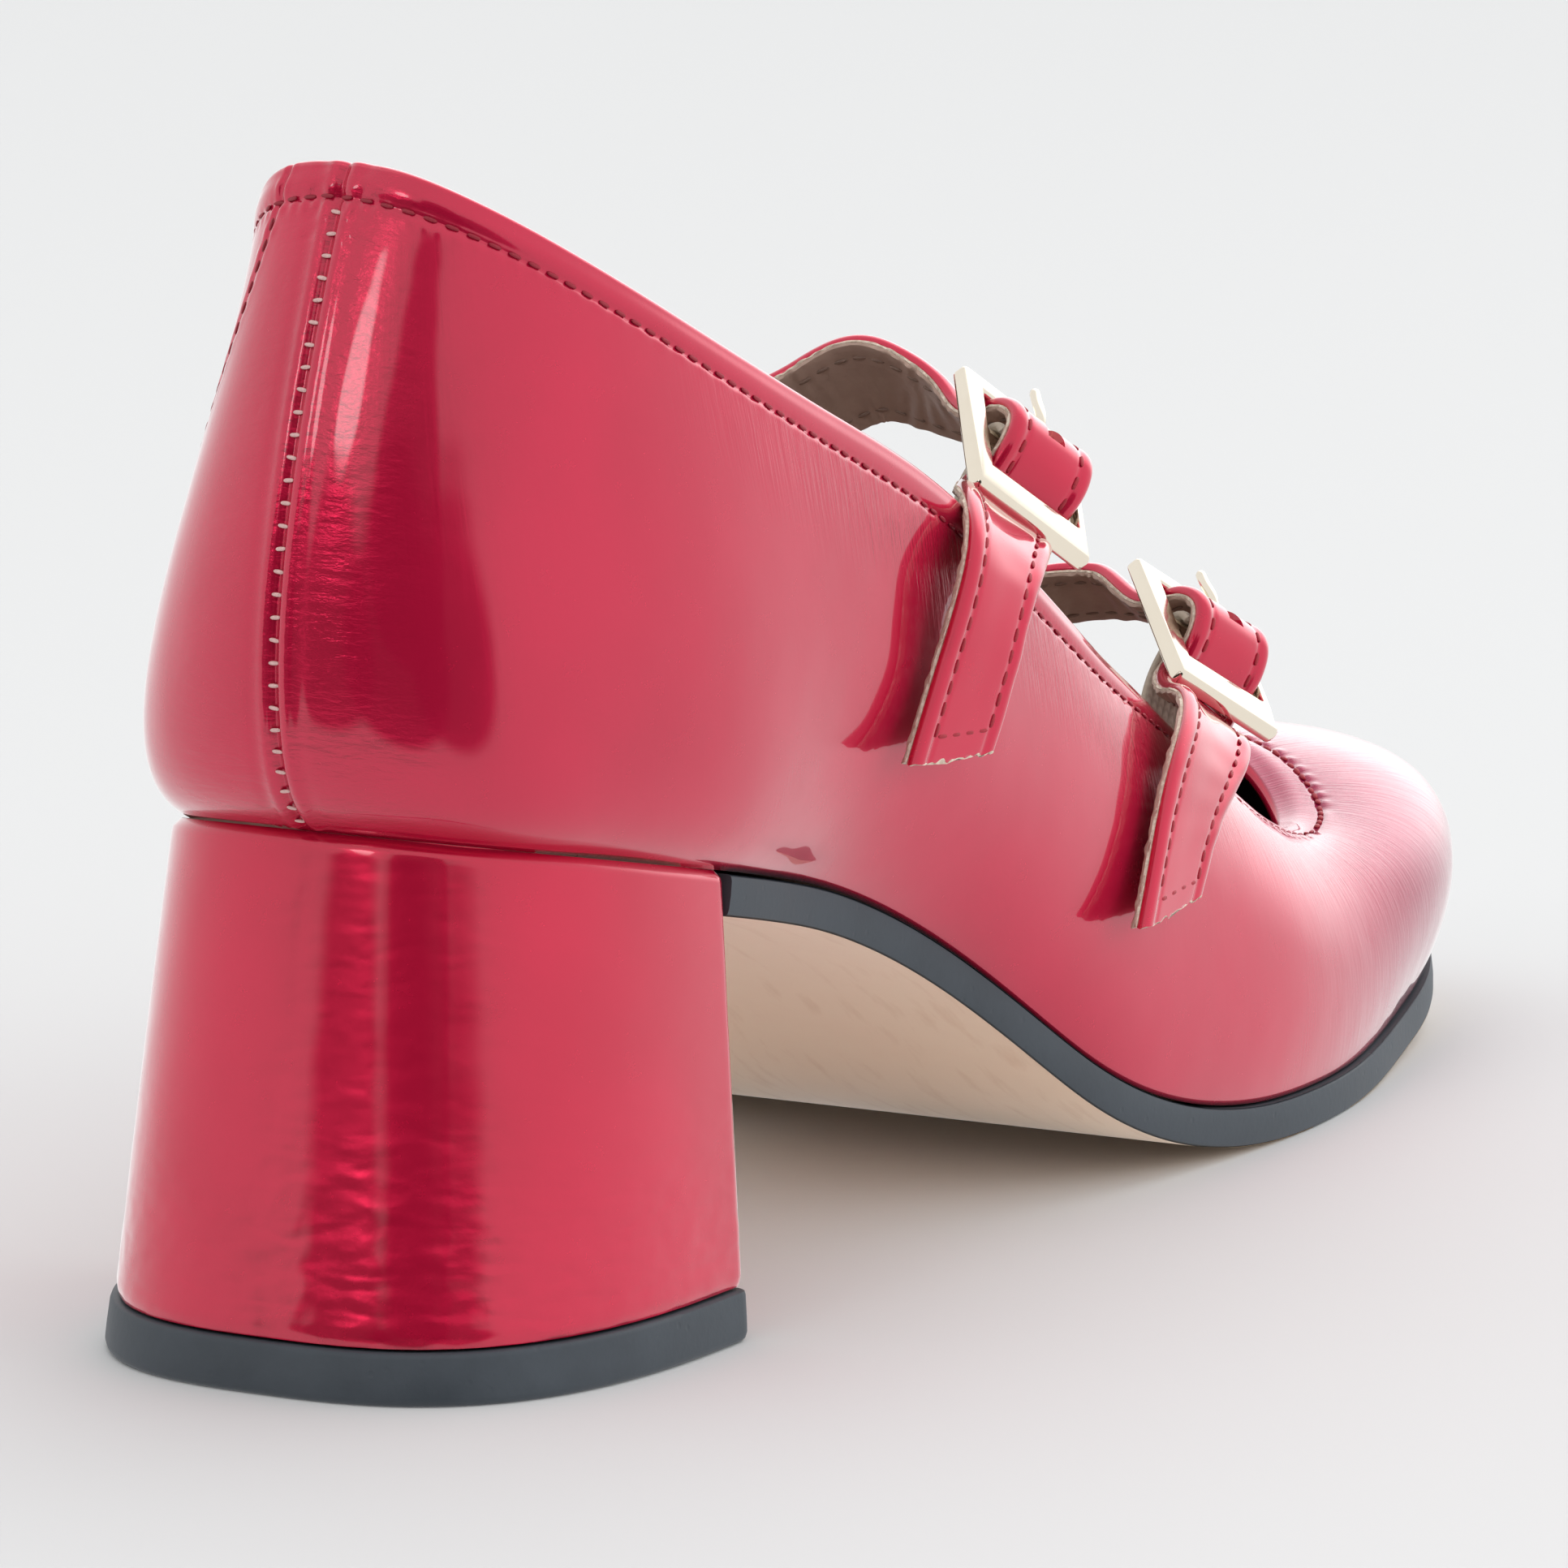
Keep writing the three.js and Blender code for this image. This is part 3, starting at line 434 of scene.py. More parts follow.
def resample(points: Array, pitch: float, start: float) -> Array:
    """Walk along a line of points at an even pitch.

    Args:
        points: The line.
        pitch: Distance between two steps.
        start: Distance of the first step from the line's start.

    Returns:
        Fractional point numbers of the steps.
    """
    walk = np.concatenate([[0], np.cumsum(np.linalg.norm(np.diff(points, axis=0), axis=1))])
    steps = np.arange(start, walk[-1] - start * 0.5, pitch)
    return np.interp(steps, walk, np.arange(len(points)))


def at_steps(values: Array, steps: Array) -> Array:
    """Read rows of values at fractional row numbers."""
    low = np.clip(np.floor(steps).astype(int), 0, len(values) - 2)
    t = (steps - low)[:, None]
    return values[low] * (1 - t) + values[low + 1] * t


def ripples(x: Array, y: Array, size: float, seed: int, count: int = 14) -> Array:
    """Return soft irregular waves of about one unit height.

    Args:
        x: First position in millimetres.
        y: Second position in millimetres.
        size: Typical distance between two waves.
        seed: Which set of waves.
        count: How many plain waves are summed.

    Returns:
        The height of the waves at each position.
    """
    rng = np.random.default_rng(seed)
    x, y = np.broadcast_arrays(np.asarray(x, float), np.asarray(y, float))
    total = np.zeros(x.shape)
    for _ in range(count):
        angle = rng.uniform(0, math.tau)
        wave = math.tau / (size * rng.uniform(0.7, 1.6))
        total += np.sin((x * math.cos(angle) + y * math.sin(angle)) * wave + rng.uniform(0, math.tau))
    return total / math.sqrt(count)


# ---------------------------------------------------------------- finishes
Socket = bpy.types.NodeSocket


class Signal:
    """A number that varies over a surface. Sums and products add Math nodes."""

    def __init__(self, palette: "Palette", socket: Socket) -> None:
        """Wrap one output socket."""
        self.palette, self.socket = palette, socket

    def _math(self, operation: str, a: object, b: object) -> "Signal":
        """Add one Math node."""
        node = self.palette.node("ShaderNodeMath", {"operation": operation}, {0: a, 1: b})
        return Signal(self.palette, node.outputs[0])

    def __add__(self, other: object) -> "Signal":
        """Return the sum."""
        return self._math("ADD", self, other)

    def __sub__(self, other: object) -> "Signal":
        """Return the difference."""
        return self._math("SUBTRACT", self, other)

    def __rsub__(self, other: object) -> "Signal":
        """Return other minus this."""
        return self._math("SUBTRACT", other, self)

    def __mul__(self, other: object) -> "Signal":
        """Return the product."""
        return self._math("MULTIPLY", self, other)

    __radd__ = __add__
    __rmul__ = __mul__


class Palette:
    """Adds the nodes of one material."""

    def __init__(self, name: str) -> None:
        """Start an empty material with its shader and output."""
        self.material = bpy.data.materials.new(name)
        self.material.use_nodes = True
        self.tree = self.material.node_tree
        self.tree.nodes.clear()
        self.shader = self.node("ShaderNodeBsdfPrincipled", {}, {})
        self.node("ShaderNodeOutputMaterial", {}, {"Surface": self.shader.outputs[0]})

    def node(self, kind: str, settings: dict[str, object], inputs: dict[object, object]) -> "bpy.types.Node":
        """Add a node.

        Args:
            kind: Node type.
            settings: Node properties, set first. "stops" fills a ramp.
            inputs: Values or links, by socket name or number.

        Returns:
            The new node.
        """
        node = self.tree.nodes.new(kind)
        for key, value in settings.items():
            if key == "stops":
                ramp = node.color_ramp
                while len(ramp.elements) < len(value):
                    ramp.elements.new(0.5)
                for element, (place, grey) in zip(ramp.elements, value):
                    element.position = place
                    element.color = (grey, grey, grey, 1)
            else:
                setattr(node, key, value)
        for key, value in inputs.items():
            value = value.socket if isinstance(value, Signal) else value
            if isinstance(value, bpy.types.NodeSocket):
                self.tree.links.new(value, node.inputs[key])
            else:
                node.inputs[key].default_value = value
        return node

    def place(self) -> Socket:
        """Return object coordinates, in metres."""
        return self.node("ShaderNodeTexCoord", {}, {}).outputs["Object"]

    def surface(self, scale: tuple[float, float, float]) -> Socket:
        """Return the piece's own surface coordinates, scaled."""
        uv = self.node("ShaderNodeUVMap", {"uv_map": "surface"}, {})
        return self.stretched(uv.outputs[0], scale)

    def noise(self, vector: Socket, scale: float, detail: float = 3, rough: float = 0.5,
              twist: float = 0.0) -> Signal:
        """Return fractal noise between 0 and 1."""
        node = self.node("ShaderNodeTexNoise", {}, {"Vector": vector, "Scale": scale, "Detail": detail,
                                                     "Roughness": rough, "Distortion": twist})
        return Signal(self, node.outputs[0])

    def cells(self, vector: Socket, scale: float) -> Signal:
        """Return the distance to the nearest cell centre."""
        node = self.node("ShaderNodeTexVoronoi", {"feature": "F1"}, {"Vector": vector, "Scale": scale})
        return Signal(self, node.outputs["Distance"])

    def stretched(self, vector: Socket, scale: tuple[float, float, float]) -> Socket:
        """Return a vector scaled by axis."""
        return self.node("ShaderNodeMapping", {}, {"Vector": vector, "Scale": scale}).outputs[0]

    def mark(self, name: str) -> Signal:
        """Return a number stored on the mesh."""
        node = self.node("ShaderNodeAttribute", {"attribute_name": name}, {})
        return Signal(self, node.outputs["Fac"])

    def ramp(self, value: object, stops: list[tuple[float, float]]) -> Signal:
        """Bend a value through a ramp of (place, grey) stops."""
        node = self.node("ShaderNodeValToRGB", {"stops": stops}, {0: value})
        return Signal(self, node.outputs[0])

    def blend(self, factor: object, first: object, second: object) -> Socket:
        """Mix two colours."""
        node = self.node("ShaderNodeMix", {"data_type": "RGBA"}, {})
        for key, value in (("Factor_Float", factor), ("A_Color", first), ("B_Color", second)):
            socket = next(s for s in node.inputs if s.identifier == key)
            value = value.socket if isinstance(value, Signal) else value
            if isinstance(value, bpy.types.NodeSocket):
                self.tree.links.new(value, socket)
            else:
                socket.default_value = (*value, 1) if isinstance(value, tuple) else value
        return next(s for s in node.outputs if s.identifier == "Result_Color")

    def bump(self, height: Signal, depth: float, below: Socket | None = None) -> Socket:
        """Turn a height into a normal, with depth in millimetres."""
        inputs: dict[object, object] = {"Height": height, "Distance": depth * MM, "Strength": 1.0}
        if below is not None:
            inputs["Normal"] = below
        return self.node("ShaderNodeBump", {}, inputs).outputs[0]

    def set(self, **values: object) -> None:
        """Set or link sockets of the shader by name, with underscores for spaces."""
        for key, value in values.items():
            socket = self.shader.inputs[key.replace("_", " ")]
            value = value.socket if isinstance(value, Signal) else value
            if isinstance(value, bpy.types.NodeSocket):
                self.tree.links.new(value, socket)
            else:
                socket.default_value = (*value, 1) if isinstance(value, tuple) and len(value) == 3 else value


class Grain(Enum):
    """How the patent film lies over the leather below it."""

    SMOOTH = "smooth"
    LASTED = "lasted"
    WRAPPED = "wrapped"


@dataclass(frozen=True)
class PatentLeather:
    """Crimson leather under a clear lacquer film, with fine pulls and an orange-peel surface."""

    name: str
    grain: Grain
    colour: tuple[float, float, float] = (0.60, 0.009, 0.052)
    deep: tuple[float, float, float] = (0.54, 0.008, 0.045)
    shaded: tuple[float, float, float] = (0.28, 0.010, 0.065)
    # painted shade: darker base colour laid over the vamp and toe of the lasted upper

    def make(self) -> "bpy.types.Material":
        """Return the material."""
        p = Palette(self.name)
        place = p.place()
        cloud = p.noise(place, 45, 3)
        tone = p.blend(p.ramp(cloud, [(0.35, 0.0), (0.65, 1.0)]), self.deep, self.colour)
        # painted shade: the lasted upper's base colour darkens towards the shaded colour over the vamp and
        # toe, by the same mark that places the toe pulls
        if self.grain is Grain.LASTED:
            tone = p.blend(p.mark("toe_pull") * 0.8, tone, self.shaded)
        p.set(Base_Color=tone)
        soft = p.noise(place, 160, 2)
        peel = p.noise(place, 900, 2)
        fine = p.noise(place, 3200, 2)
        below = p.bump(soft, 0.03)
        if self.grain is Grain.LASTED:
            pulls = p.noise(p.surface((9, 1.7, 1)), 3.0, 3, 0.55, 0.35)
            below = p.bump(pulls * p.mark("toe_pull"), 0.12, below)
            hairs = p.noise(p.surface((26, 2.4, 1)), 3.0, 3, 0.6, 0.3)
            below = p.bump(hairs * p.mark("toe_pull"), 0.02, below)
            sideways = p.noise(p.surface((2.2, 26, 1)), 2.2, 4, 0.6, 0.2)
            below = p.bump(sideways * p.mark("seam_pull"), 0.2, below)
            near_edge = p.noise(p.surface((11, 1.6, 1)), 3.2, 3, 0.6, 0.25)
            below = p.bump(near_edge * p.mark("edge_pull"), 0.32, below)
        elif self.grain is Grain.WRAPPED:
            crinkle = p.noise(p.stretched(place, (1, 1, 2.4)), 190, 1, 0.5, 0.2)
            below = p.bump(crinkle * (p.mark("low") * 0.75 + 0.25), 0.3, below)
            peel = peel * (p.mark("low") * 2.0 + 1.2)
        below = p.bump(peel, 0.008, below)
        below = p.bump(fine, 0.003, below)
        speck = p.noise(place, 260, 4, 0.7)
        p.set(Roughness=p.ramp(speck, [(0.3, 0.20), (0.75, 0.30)]), Normal=below)
        p.set(Coat_Weight=1.0, Coat_Roughness=0.03, Coat_IOR=1.5, IOR=1.45, Specular_IOR_Level=0.12,
              Metallic=0.42)
        return p.material


@dataclass(frozen=True)
class PlainLeather:
    """Lining, sock or strap backing with a soft pore grain."""

    name: str
    colour: tuple[float, float, float]
    shade: tuple[float, float, float]
    roughness: float = 0.62

    def make(self) -> "bpy.types.Material":
        """Return the material."""
        p = Palette(self.name)
        place = p.place()
        cloud = p.noise(place, 120, 5, 0.6)
        pores = p.cells(place, 1500)
        p.set(Base_Color=p.blend(p.ramp(cloud, [(0.3, 0.0), (0.7, 1.0)]), self.shade, self.colour),
              Roughness=p.ramp(cloud, [(0.2, self.roughness - 0.1), (0.8, self.roughness + 0.1)]),
              Normal=p.bump(p.noise(place, 700, 4), 0.05, p.bump(pores, 0.03)), Specular_IOR_Level=0.35)
        return p.material


@dataclass(frozen=True)
class RawEdge:
    """A cut leather edge with loose fibres."""

    name: str = "raw_edge"

    def make(self) -> "bpy.types.Material":
        """Return the material."""
        p = Palette(self.name)
        place = p.place()
        fibre = p.noise(place, 1900, 5, 0.7)
        loose = p.ramp(fibre, [(0.3, 0.0), (0.7, 1.0)])
        p.set(Base_Color=p.blend(loose, (0.50, 0.36, 0.27), (0.86, 0.76, 0.64)),
              Roughness=p.ramp(fibre, [(0.2, 0.8), (0.8, 0.95)]), Normal=p.bump(fibre, 0.12))
        return p.material


@dataclass(frozen=True)
class SoleRubber:
    """Charcoal rubber, matte, with a faint grain and small scuffs."""

    name: str = "sole_rubber"

    def make(self) -> "bpy.types.Material":
        """Return the material."""
        p = Palette(self.name)
        place = p.place()
        cloud = p.noise(place, 90, 5, 0.65)
        pits = p.ramp(p.cells(place, 420), [(0.05, 0.0), (0.16, 1.0)])
        worn = p.ramp(cloud, [(0.3, 0.0), (0.75, 1.0)])
        colour = p.blend(worn, (0.036, 0.045, 0.056), (0.058, 0.070, 0.084))
        p.set(Base_Color=colour, Roughness=p.ramp(cloud, [(0.2, 0.5), (0.8, 0.68)]),
              Normal=p.bump(pits, 0.03, p.bump(p.noise(place, 1100, 3), 0.03)), Specular_IOR_Level=0.4)
        return p.material


@dataclass(frozen=True)
class TanUnderside:
    """Smooth tan sole face with faint lengthways brushing; its tan is painted brighter than the sole's own,
    as painted light on the shaded underside.
    """

    name: str = "tan_underside"

    def make(self) -> "bpy.types.Material":
        """Return the material."""
        p = Palette(self.name)
        place = p.place()
        streak = p.noise(p.stretched(place, (12, 160, 60)), 3, 5)
        cloud = p.noise(place, 40, 5, 0.6)
        # partly painted light: the tan is the sole's own colour, but set close to full brightness so that the
        # underside, which gets little light, still reads light tan
        base = p.blend(p.ramp(cloud, [(0.35, 0.0), (0.7, 1.0)]), (0.96, 0.72, 0.52), (1.0, 0.80, 0.60))
        p.set(Base_Color=p.blend(p.ramp(streak, [(0.55, 0.0), (0.75, 0.5)]), base, (0.78, 0.52, 0.34)),
              Roughness=p.ramp(cloud, [(0.2, 0.38), (0.8, 0.55)]), Normal=p.bump(streak, 0.02),
              Specular_IOR_Level=0.25)
        return p.material


@dataclass(frozen=True)
class PaleGold:
    """Polished pale gold plate."""

    name: str = "buckle_metal"

    def make(self) -> "bpy.types.Material":
        """Return the material."""
        p = Palette(self.name)
        place = p.place()
        cloud = p.noise(place, 300, 4, 0.6)
        p.set(Base_Color=p.blend(cloud, (0.78, 0.70, 0.58), (0.84, 0.77, 0.65)), Metallic=1.0,
              Roughness=p.ramp(cloud, [(0.3, 0.10), (0.8, 0.17)]),
              Normal=p.bump(p.noise(place, 2500, 2), 0.002))
        return p.material


@dataclass(frozen=True)
class KnitElastic:
    """Beige knitted elastic with a stitch-by-stitch relief and painted shade in its hollows."""

    name: str = "elastic_knit"

    def make(self) -> "bpy.types.Material":
        """Return the material."""
        p = Palette(self.name)
        place = p.place()
        yarn = p.noise(place, 2600, 4, 0.7)
        # painted shade: the yarn colour turns darker where the knit relief mark is low, in the hollows
        # between the loops
        shade = p.ramp(p.mark("knit"), [(0.15, 0.0), (0.8, 1.0)])
        colour = p.blend(shade, (0.50, 0.41, 0.32), (0.88, 0.80, 0.68))
        p.set(Base_Color=p.blend(yarn * 0.35, colour, (0.86, 0.79, 0.68)),
              Roughness=p.ramp(yarn, [(0, 0.8), (1, 0.95)]),
              Normal=p.bump(yarn, 0.06), Sheen_Weight=0.3)
        return p.material


@dataclass(frozen=True)
class Thread:
    """Twisted sewing thread."""

    name: str
    colour: tuple[float, float, float]
    gloss: float = 0.45

    def make(self) -> "bpy.types.Material":
        """Return the material."""
        p = Palette(self.name)
        twist = p.noise(p.place(), 3500, 2)
        dark = tuple(0.6 * c for c in self.colour)
        p.set(Base_Color=p.blend(twist, dark, self.colour),
              Roughness=p.ramp(twist, [(0, self.gloss), (1, self.gloss + 0.2)]),
              Normal=p.bump(twist, 0.04))
        return p.material


@dataclass(frozen=True)
class StudioPaper:
    """Pale backdrop paper."""

    name: str = "studio_paper"

    def make(self) -> "bpy.types.Material":
        """Return the material."""
        p = Palette(self.name)
        tooth = p.noise(p.place(), 400, 3)
        p.set(Base_Color=(0.635, 0.64, 0.643), Roughness=0.9, Normal=p.bump(tooth, 0.01),
              Specular_IOR_Level=0.1)
        return p.material


def made(kind: Callable, *values: object) -> "bpy.types.Material":
    """Return a dataclass field that makes one finish."""
    return field(default_factory=lambda: kind(*values).make())


@dataclass
class Finishes:
    """Every material of the shoe, made once."""

    lasted: "bpy.types.Material" = made(PatentLeather, "patent_upper", Grain.LASTED)
    wrapped: "bpy.types.Material" = made(PatentLeather, "patent_heel", Grain.WRAPPED)
    strap: "bpy.types.Material" = made(PatentLeather, "patent_strap", Grain.SMOOTH)
    # painted shade: the lining is given a near-black charcoal colour so that the inside of the shoe reads
    # dark
    lining: "bpy.types.Material" = made(
        PlainLeather, "charcoal_lining", (0.035, 0.03, 0.032), (0.022, 0.02, 0.022))
    backing: "bpy.types.Material" = made(
        PlainLeather, "taupe_backing", (0.52, 0.36, 0.29), (0.42, 0.28, 0.225), 0.5)
    sock: "bpy.types.Material" = made(PlainLeather, "taupe_sock", (0.40, 0.275, 0.215), (0.32, 0.215, 0.17))
    raw: "bpy.types.Material" = made(RawEdge)
    rubber: "bpy.types.Material" = made(SoleRubber)
    tan: "bpy.types.Material" = made(TanUnderside)
    gold: "bpy.types.Material" = made(PaleGold)
    knit: "bpy.types.Material" = made(KnitElastic)
    red_thread: "bpy.types.Material" = made(Thread, "red_thread", (0.42, 0.012, 0.03))
    dark_thread: "bpy.types.Material" = made(Thread, "dark_red_thread", (0.36, 0.012, 0.032))
    pale_thread: "bpy.types.Material" = made(Thread, "pale_thread", (0.88, 0.55, 0.52), 0.25)
    beige_thread: "bpy.types.Material" = made(Thread, "beige_thread", (0.34, 0.22, 0.17))


# ---------------------------------------------------------------- upper
@dataclass
class Upper:
    """The lasted upper: one closed wall with a folded topline, open at the top and underneath."""

    bench: Workbench
    finishes: Finishes
    stitch: StitchRow
    outer_rows: int = 84
    rim_rows: int = 8
    inner_rows: int = 18
    groove_at: float = 3.0
    throat_groove_at: float = 4.6

    def columns(self) -> Array:
        """Return the positions round the foot, closer together at the two seams."""
        count = 4000
        u = np.arange(count) * len(SECTIONS) / count
        near_back = np.minimum(u, len(SECTIONS) - u)
        wish = 24 + 150 * hump(near_back, 0, 0.32) + 22 * hump(u, 24.2, 1.0) + 14 * hump(u, 13, 3)
        walk = np.concatenate([[0], np.cumsum(wish)])
        steps = np.linspace(0, walk[-1], 760, endpoint=False)
        return np.interp(steps, walk, np.arange(count + 1)) * len(SECTIONS) / count

    def throat(self, u: Array) -> Array:
        """Return how much of the wide throat rim there is at u."""
        return smooth(u, 10.2, 11.6) * (1 - smooth(u, 14.6, 16.0))

    def seam_line(self, h: Array) -> Array:
        """Return where the medial quarter seam runs, from the feather line to the topline."""
        return np.interp(h, [0, 0.35, 1], [23.2, 23.9, 25.2])

    def relief(self, u: Array, h: Array, below: Array, points: Array) -> Array:
        """Work out how far the leather stands proud of the plain form.

        Args:
            u: Position round the foot.
            h: Height share.
            below: Distance below the topline, in millimetres.
            points: Points of the plain form.

        Returns:
            Offsets along the normal, in millimetres.
        """
        form = self.bench.form
        rim = self.throat(u)
        groove = self.groove_at + (self.throat_groove_at - self.groove_at) * rim
        edge = hump(below, groove * 0.48, groove * 0.32)
        out = edge * (0.2 + 0.15 * rim) - 0.26 * hump(below, groove, 0.42)
        walk = u * 14.0
        pitch = STITCH_PITCH + (THROAT_PITCH - STITCH_PITCH) * rim
        pucker = hump(below - groove, 0.55, 0.75)
        out += pucker * (0.06 + 0.09 * rim) * np.sin(walk * math.tau / pitch * (1 - 0.35 * rim))
        back = form.outside(u * 0, h)
        away = np.linalg.norm((points - back)[..., :2], axis=-1)
        pull = np.sin(points[..., 2] * math.tau / SEAM_PITCH)
        tuft = 0.5 + 0.5 * pull
        out -= 0.42 * hump(away, 0, 0.42)
        out += (0.12 + 0.08 * tuft) * hump(away, 1.25, 0.6)
        out -= 0.10 * tuft * hump(away, 2.6, 0.7)
        seam = (u - self.seam_line(h)) * 13.0
        out -= 0.3 * hump(seam, 0, 0.4)
        out += 0.1 * hump(np.abs(seam), 1.1, 0.5) * (0.6 + 0.4 * pull)
        x, y, z = points[..., 0], points[..., 1], points[..., 2]
        turn = np.arctan2(y, x - 120) * 40
        out += 0.006 * ripples(x + y * 0.6, z * 1.2, 7, 3) + 0.03 * ripples(x + y * 0.5, z, 24, 5)
        vamp = smooth(u, 9.5, 12) * (1 - smooth(u, 15, 17.5))
        out += 0.010 * vamp * ripples(turn * 1.6 + h * 3, h * 9, 2.4, 9) * (1 - h * 0.4)
        out += 0.02 * vamp * ripples(turn * 0.8, h * 12, 5.5, 12)
        return out * smooth(h, 0, 0.03)

    def build(self) -> None:
        """Write the wall, its stitches and its seams."""
        form = self.bench.form
        u = self.columns()
        count = len(u)
        fine = np.linspace(0, 1, 240)
        track = form.outside(u[None, :], fine[:, None])
        step = np.linalg.norm(np.diff(track, axis=0), axis=-1)
        walk = np.concatenate([np.zeros((1, count)), np.cumsum(step, axis=0)])
        near_edge = 30
        down = np.concatenate([np.linspace(0, 1, self.outer_rows - near_edge, endpoint=False),
                               1 + np.linspace(0, 1, near_edge)])
        h = np.empty((self.outer_rows, count))
        for k in range(count):
            total = walk[-1, k]
            edge = min(7.5, total * 0.3)
            goal = np.where(down <= 1, down * (total - edge), total - edge + (down - 1) * edge)
            h[:, k] = np.interp(goal, walk[:, k], fine)
        h[0], h[-1] = 0, 1
        uu = np.broadcast_to(u, h.shape)
        below = np.stack([np.interp(h[:, k], fine, walk[-1, k] - walk[:, k]) for k in range(count)], 1)
        plain = form.outside(uu, h)
        normal = form.normal(uu, h)
        outer = plain + normal * self.relief(uu, h, below, plain)[..., None]
        radius = form.wall / 2
        top, top_normal = outer[-1], normal[-1]
        rise = unit(form.outside(u, 1.0) - form.outside(u, 0.985))
        puff = 0.75 + 0.25 * self.throat(u)[:, None]
        rim = []
        for k in range(1, self.rim_rows + 1):
            a = math.pi * k / self.rim_rows
            rim.append(top - top_normal * radius * (1 - math.cos(a)) + rise * radius * math.sin(a) * puff)
        inner_h = np.linspace(0.985, 0, self.inner_rows)[:, None]
        inner_u = np.broadcast_to(u, (self.inner_rows, count))
        inner = form.outside(inner_u, inner_h) - form.normal(inner_u, inner_h) * form.wall
        rows = np.concatenate([outer, np.stack(rim), inner])
        total_rows = len(rows)
        faces = grid_faces(total_rows + 1, count, True) % (total_rows * count)
        kinds = np.full((total_rows, count), 0)
        kinds[self.outer_rows + self.rim_rows - 2:] = 1
        kinds[self.outer_rows + self.rim_rows - 1] = 2
        kinds[-1] = 0
        v = np.concatenate([h.mean(1), np.full(self.rim_rows, 1.0), inner_h[:, 0], [0.0]])
        edges = np.append(u, len(SECTIONS))
        r, c = np.meshgrid(np.arange(total_rows), np.arange(count), indexing="ij")
        uv = np.stack([np.stack([edges[c], v[r]], -1), np.stack([edges[c + 1], v[r]], -1),
                       np.stack([edges[c + 1], v[r + 1]], -1), np.stack([edges[c], v[r + 1]], -1)], 2)
        pad = np.zeros((total_rows - self.outer_rows, count))
        vamp = smooth(uu, 8.5, 11.5) * (1 - smooth(uu, 15.2, 18))
        back = np.minimum(uu, len(SECTIONS) - uu)
        pull = 1 - smooth(back, 0.25, 1.1)
        edge_pull = np.exp(-(((below - 6.5) / 5.5) ** 2)) * smooth(below, 1.5, 4.0)
        # the toe mark places both the toe pulls and the painted shade of the vamp and toe
        marks = {"toe_pull": np.concatenate([0.12 + 0.88 * vamp, pad]),
                 "seam_pull": np.concatenate([pull, pad]),
                 "edge_pull": np.concatenate([edge_pull * smooth(back, 2.2, 5), pad])}
        piece = self.bench.mesh("upper_leather", rows, faces,
                                [self.finishes.lasted, self.finishes.lining, self.finishes.raw],
                                kinds.ravel(), uv, marks)
        self.bench.fix(piece, "patent_leather", ["upper"])
        self.sew_edges(outer, normal, below, uu)
        self.sew_seams()

    def sew_edges(self, outer: Array, normal: Array, below: Array, uu: Array) -> None:
        """Sew the folded topline and the throat rim."""
        u = uu[0]
        groove = self.groove_at + (self.throat_groove_at - self.groove_at) * self.throat(u)
        line, out, run = [], [], []
        for k in range(len(u)):
            line.append([np.interp(-groove[k], -below[:, k], outer[:, k, c]) for c in range(3)])
            out.append([np.interp(-groove[k], -below[:, k], normal[:, k, c]) for c in range(3)])
        line, out = np.array(line), unit(np.array(out))
        run = unit(np.roll(line, -1, 0) - np.roll(line, 1, 0))
        throat = self.throat(u) > 0.5
        for name, wanted, pitch, length, thick, finish in (
                ("topline_stitches", ~throat, STITCH_PITCH, 1.35, 0.42, self.finishes.dark_thread),
                ("throat_stitches", throat, THROAT_PITCH, 1.1, 0.62, self.finishes.red_thread)):
            steps = resample(line, pitch, 1)
            kept = steps[wanted[np.round(steps).astype(int) % len(u)]]
            piece = self.stitch.sew(name, at_steps(line, kept) + at_steps(out, kept) * 0.12,
                                    at_steps(run, kept), at_steps(out, kept), length, thick, finish)
            self.bench.fix(piece, "patent_leather")

    def sew_seams(self) -> None:
        """Sew the back seam with pale crossing stitches and the medial quarter seam with dark ones."""
        form = self.bench.form
        h = np.linspace(0.03, 0.955, 400)
        line = form.outside(np.zeros(400), h)
        steps = resample(line, SEAM_PITCH, 1)
        at, out = at_steps(line, steps), at_steps(form.normal(np.zeros(400), h), steps)
        across = np.cross(out, [0.0, 0.0, 1.0])
        tilt = np.sin(np.arange(len(at)) * 2.3)[:, None] * np.array([0, 0, 0.12])
        piece = self.stitch.sew("back_seam_stitches", at - out * 0.1, across + tilt, out, 1.15, 0.42,
                                self.finishes.pale_thread)
        self.bench.fix(piece, "patent_leather")
        u = self.seam_line(h)
        line = form.outside(u, h)
        steps = resample(line, SEAM_PITCH, 1)
        at, out = at_steps(line, steps), at_steps(form.normal(u, h), steps)
        run = at_steps(unit(np.gradient(line, axis=0)), steps)
        piece = self.stitch.sew("quarter_seam_stitches", at - out * 0.05, run, out, 1.3, 0.4,
                                self.finishes.dark_thread)
        self.bench.fix(piece, "patent_leather")


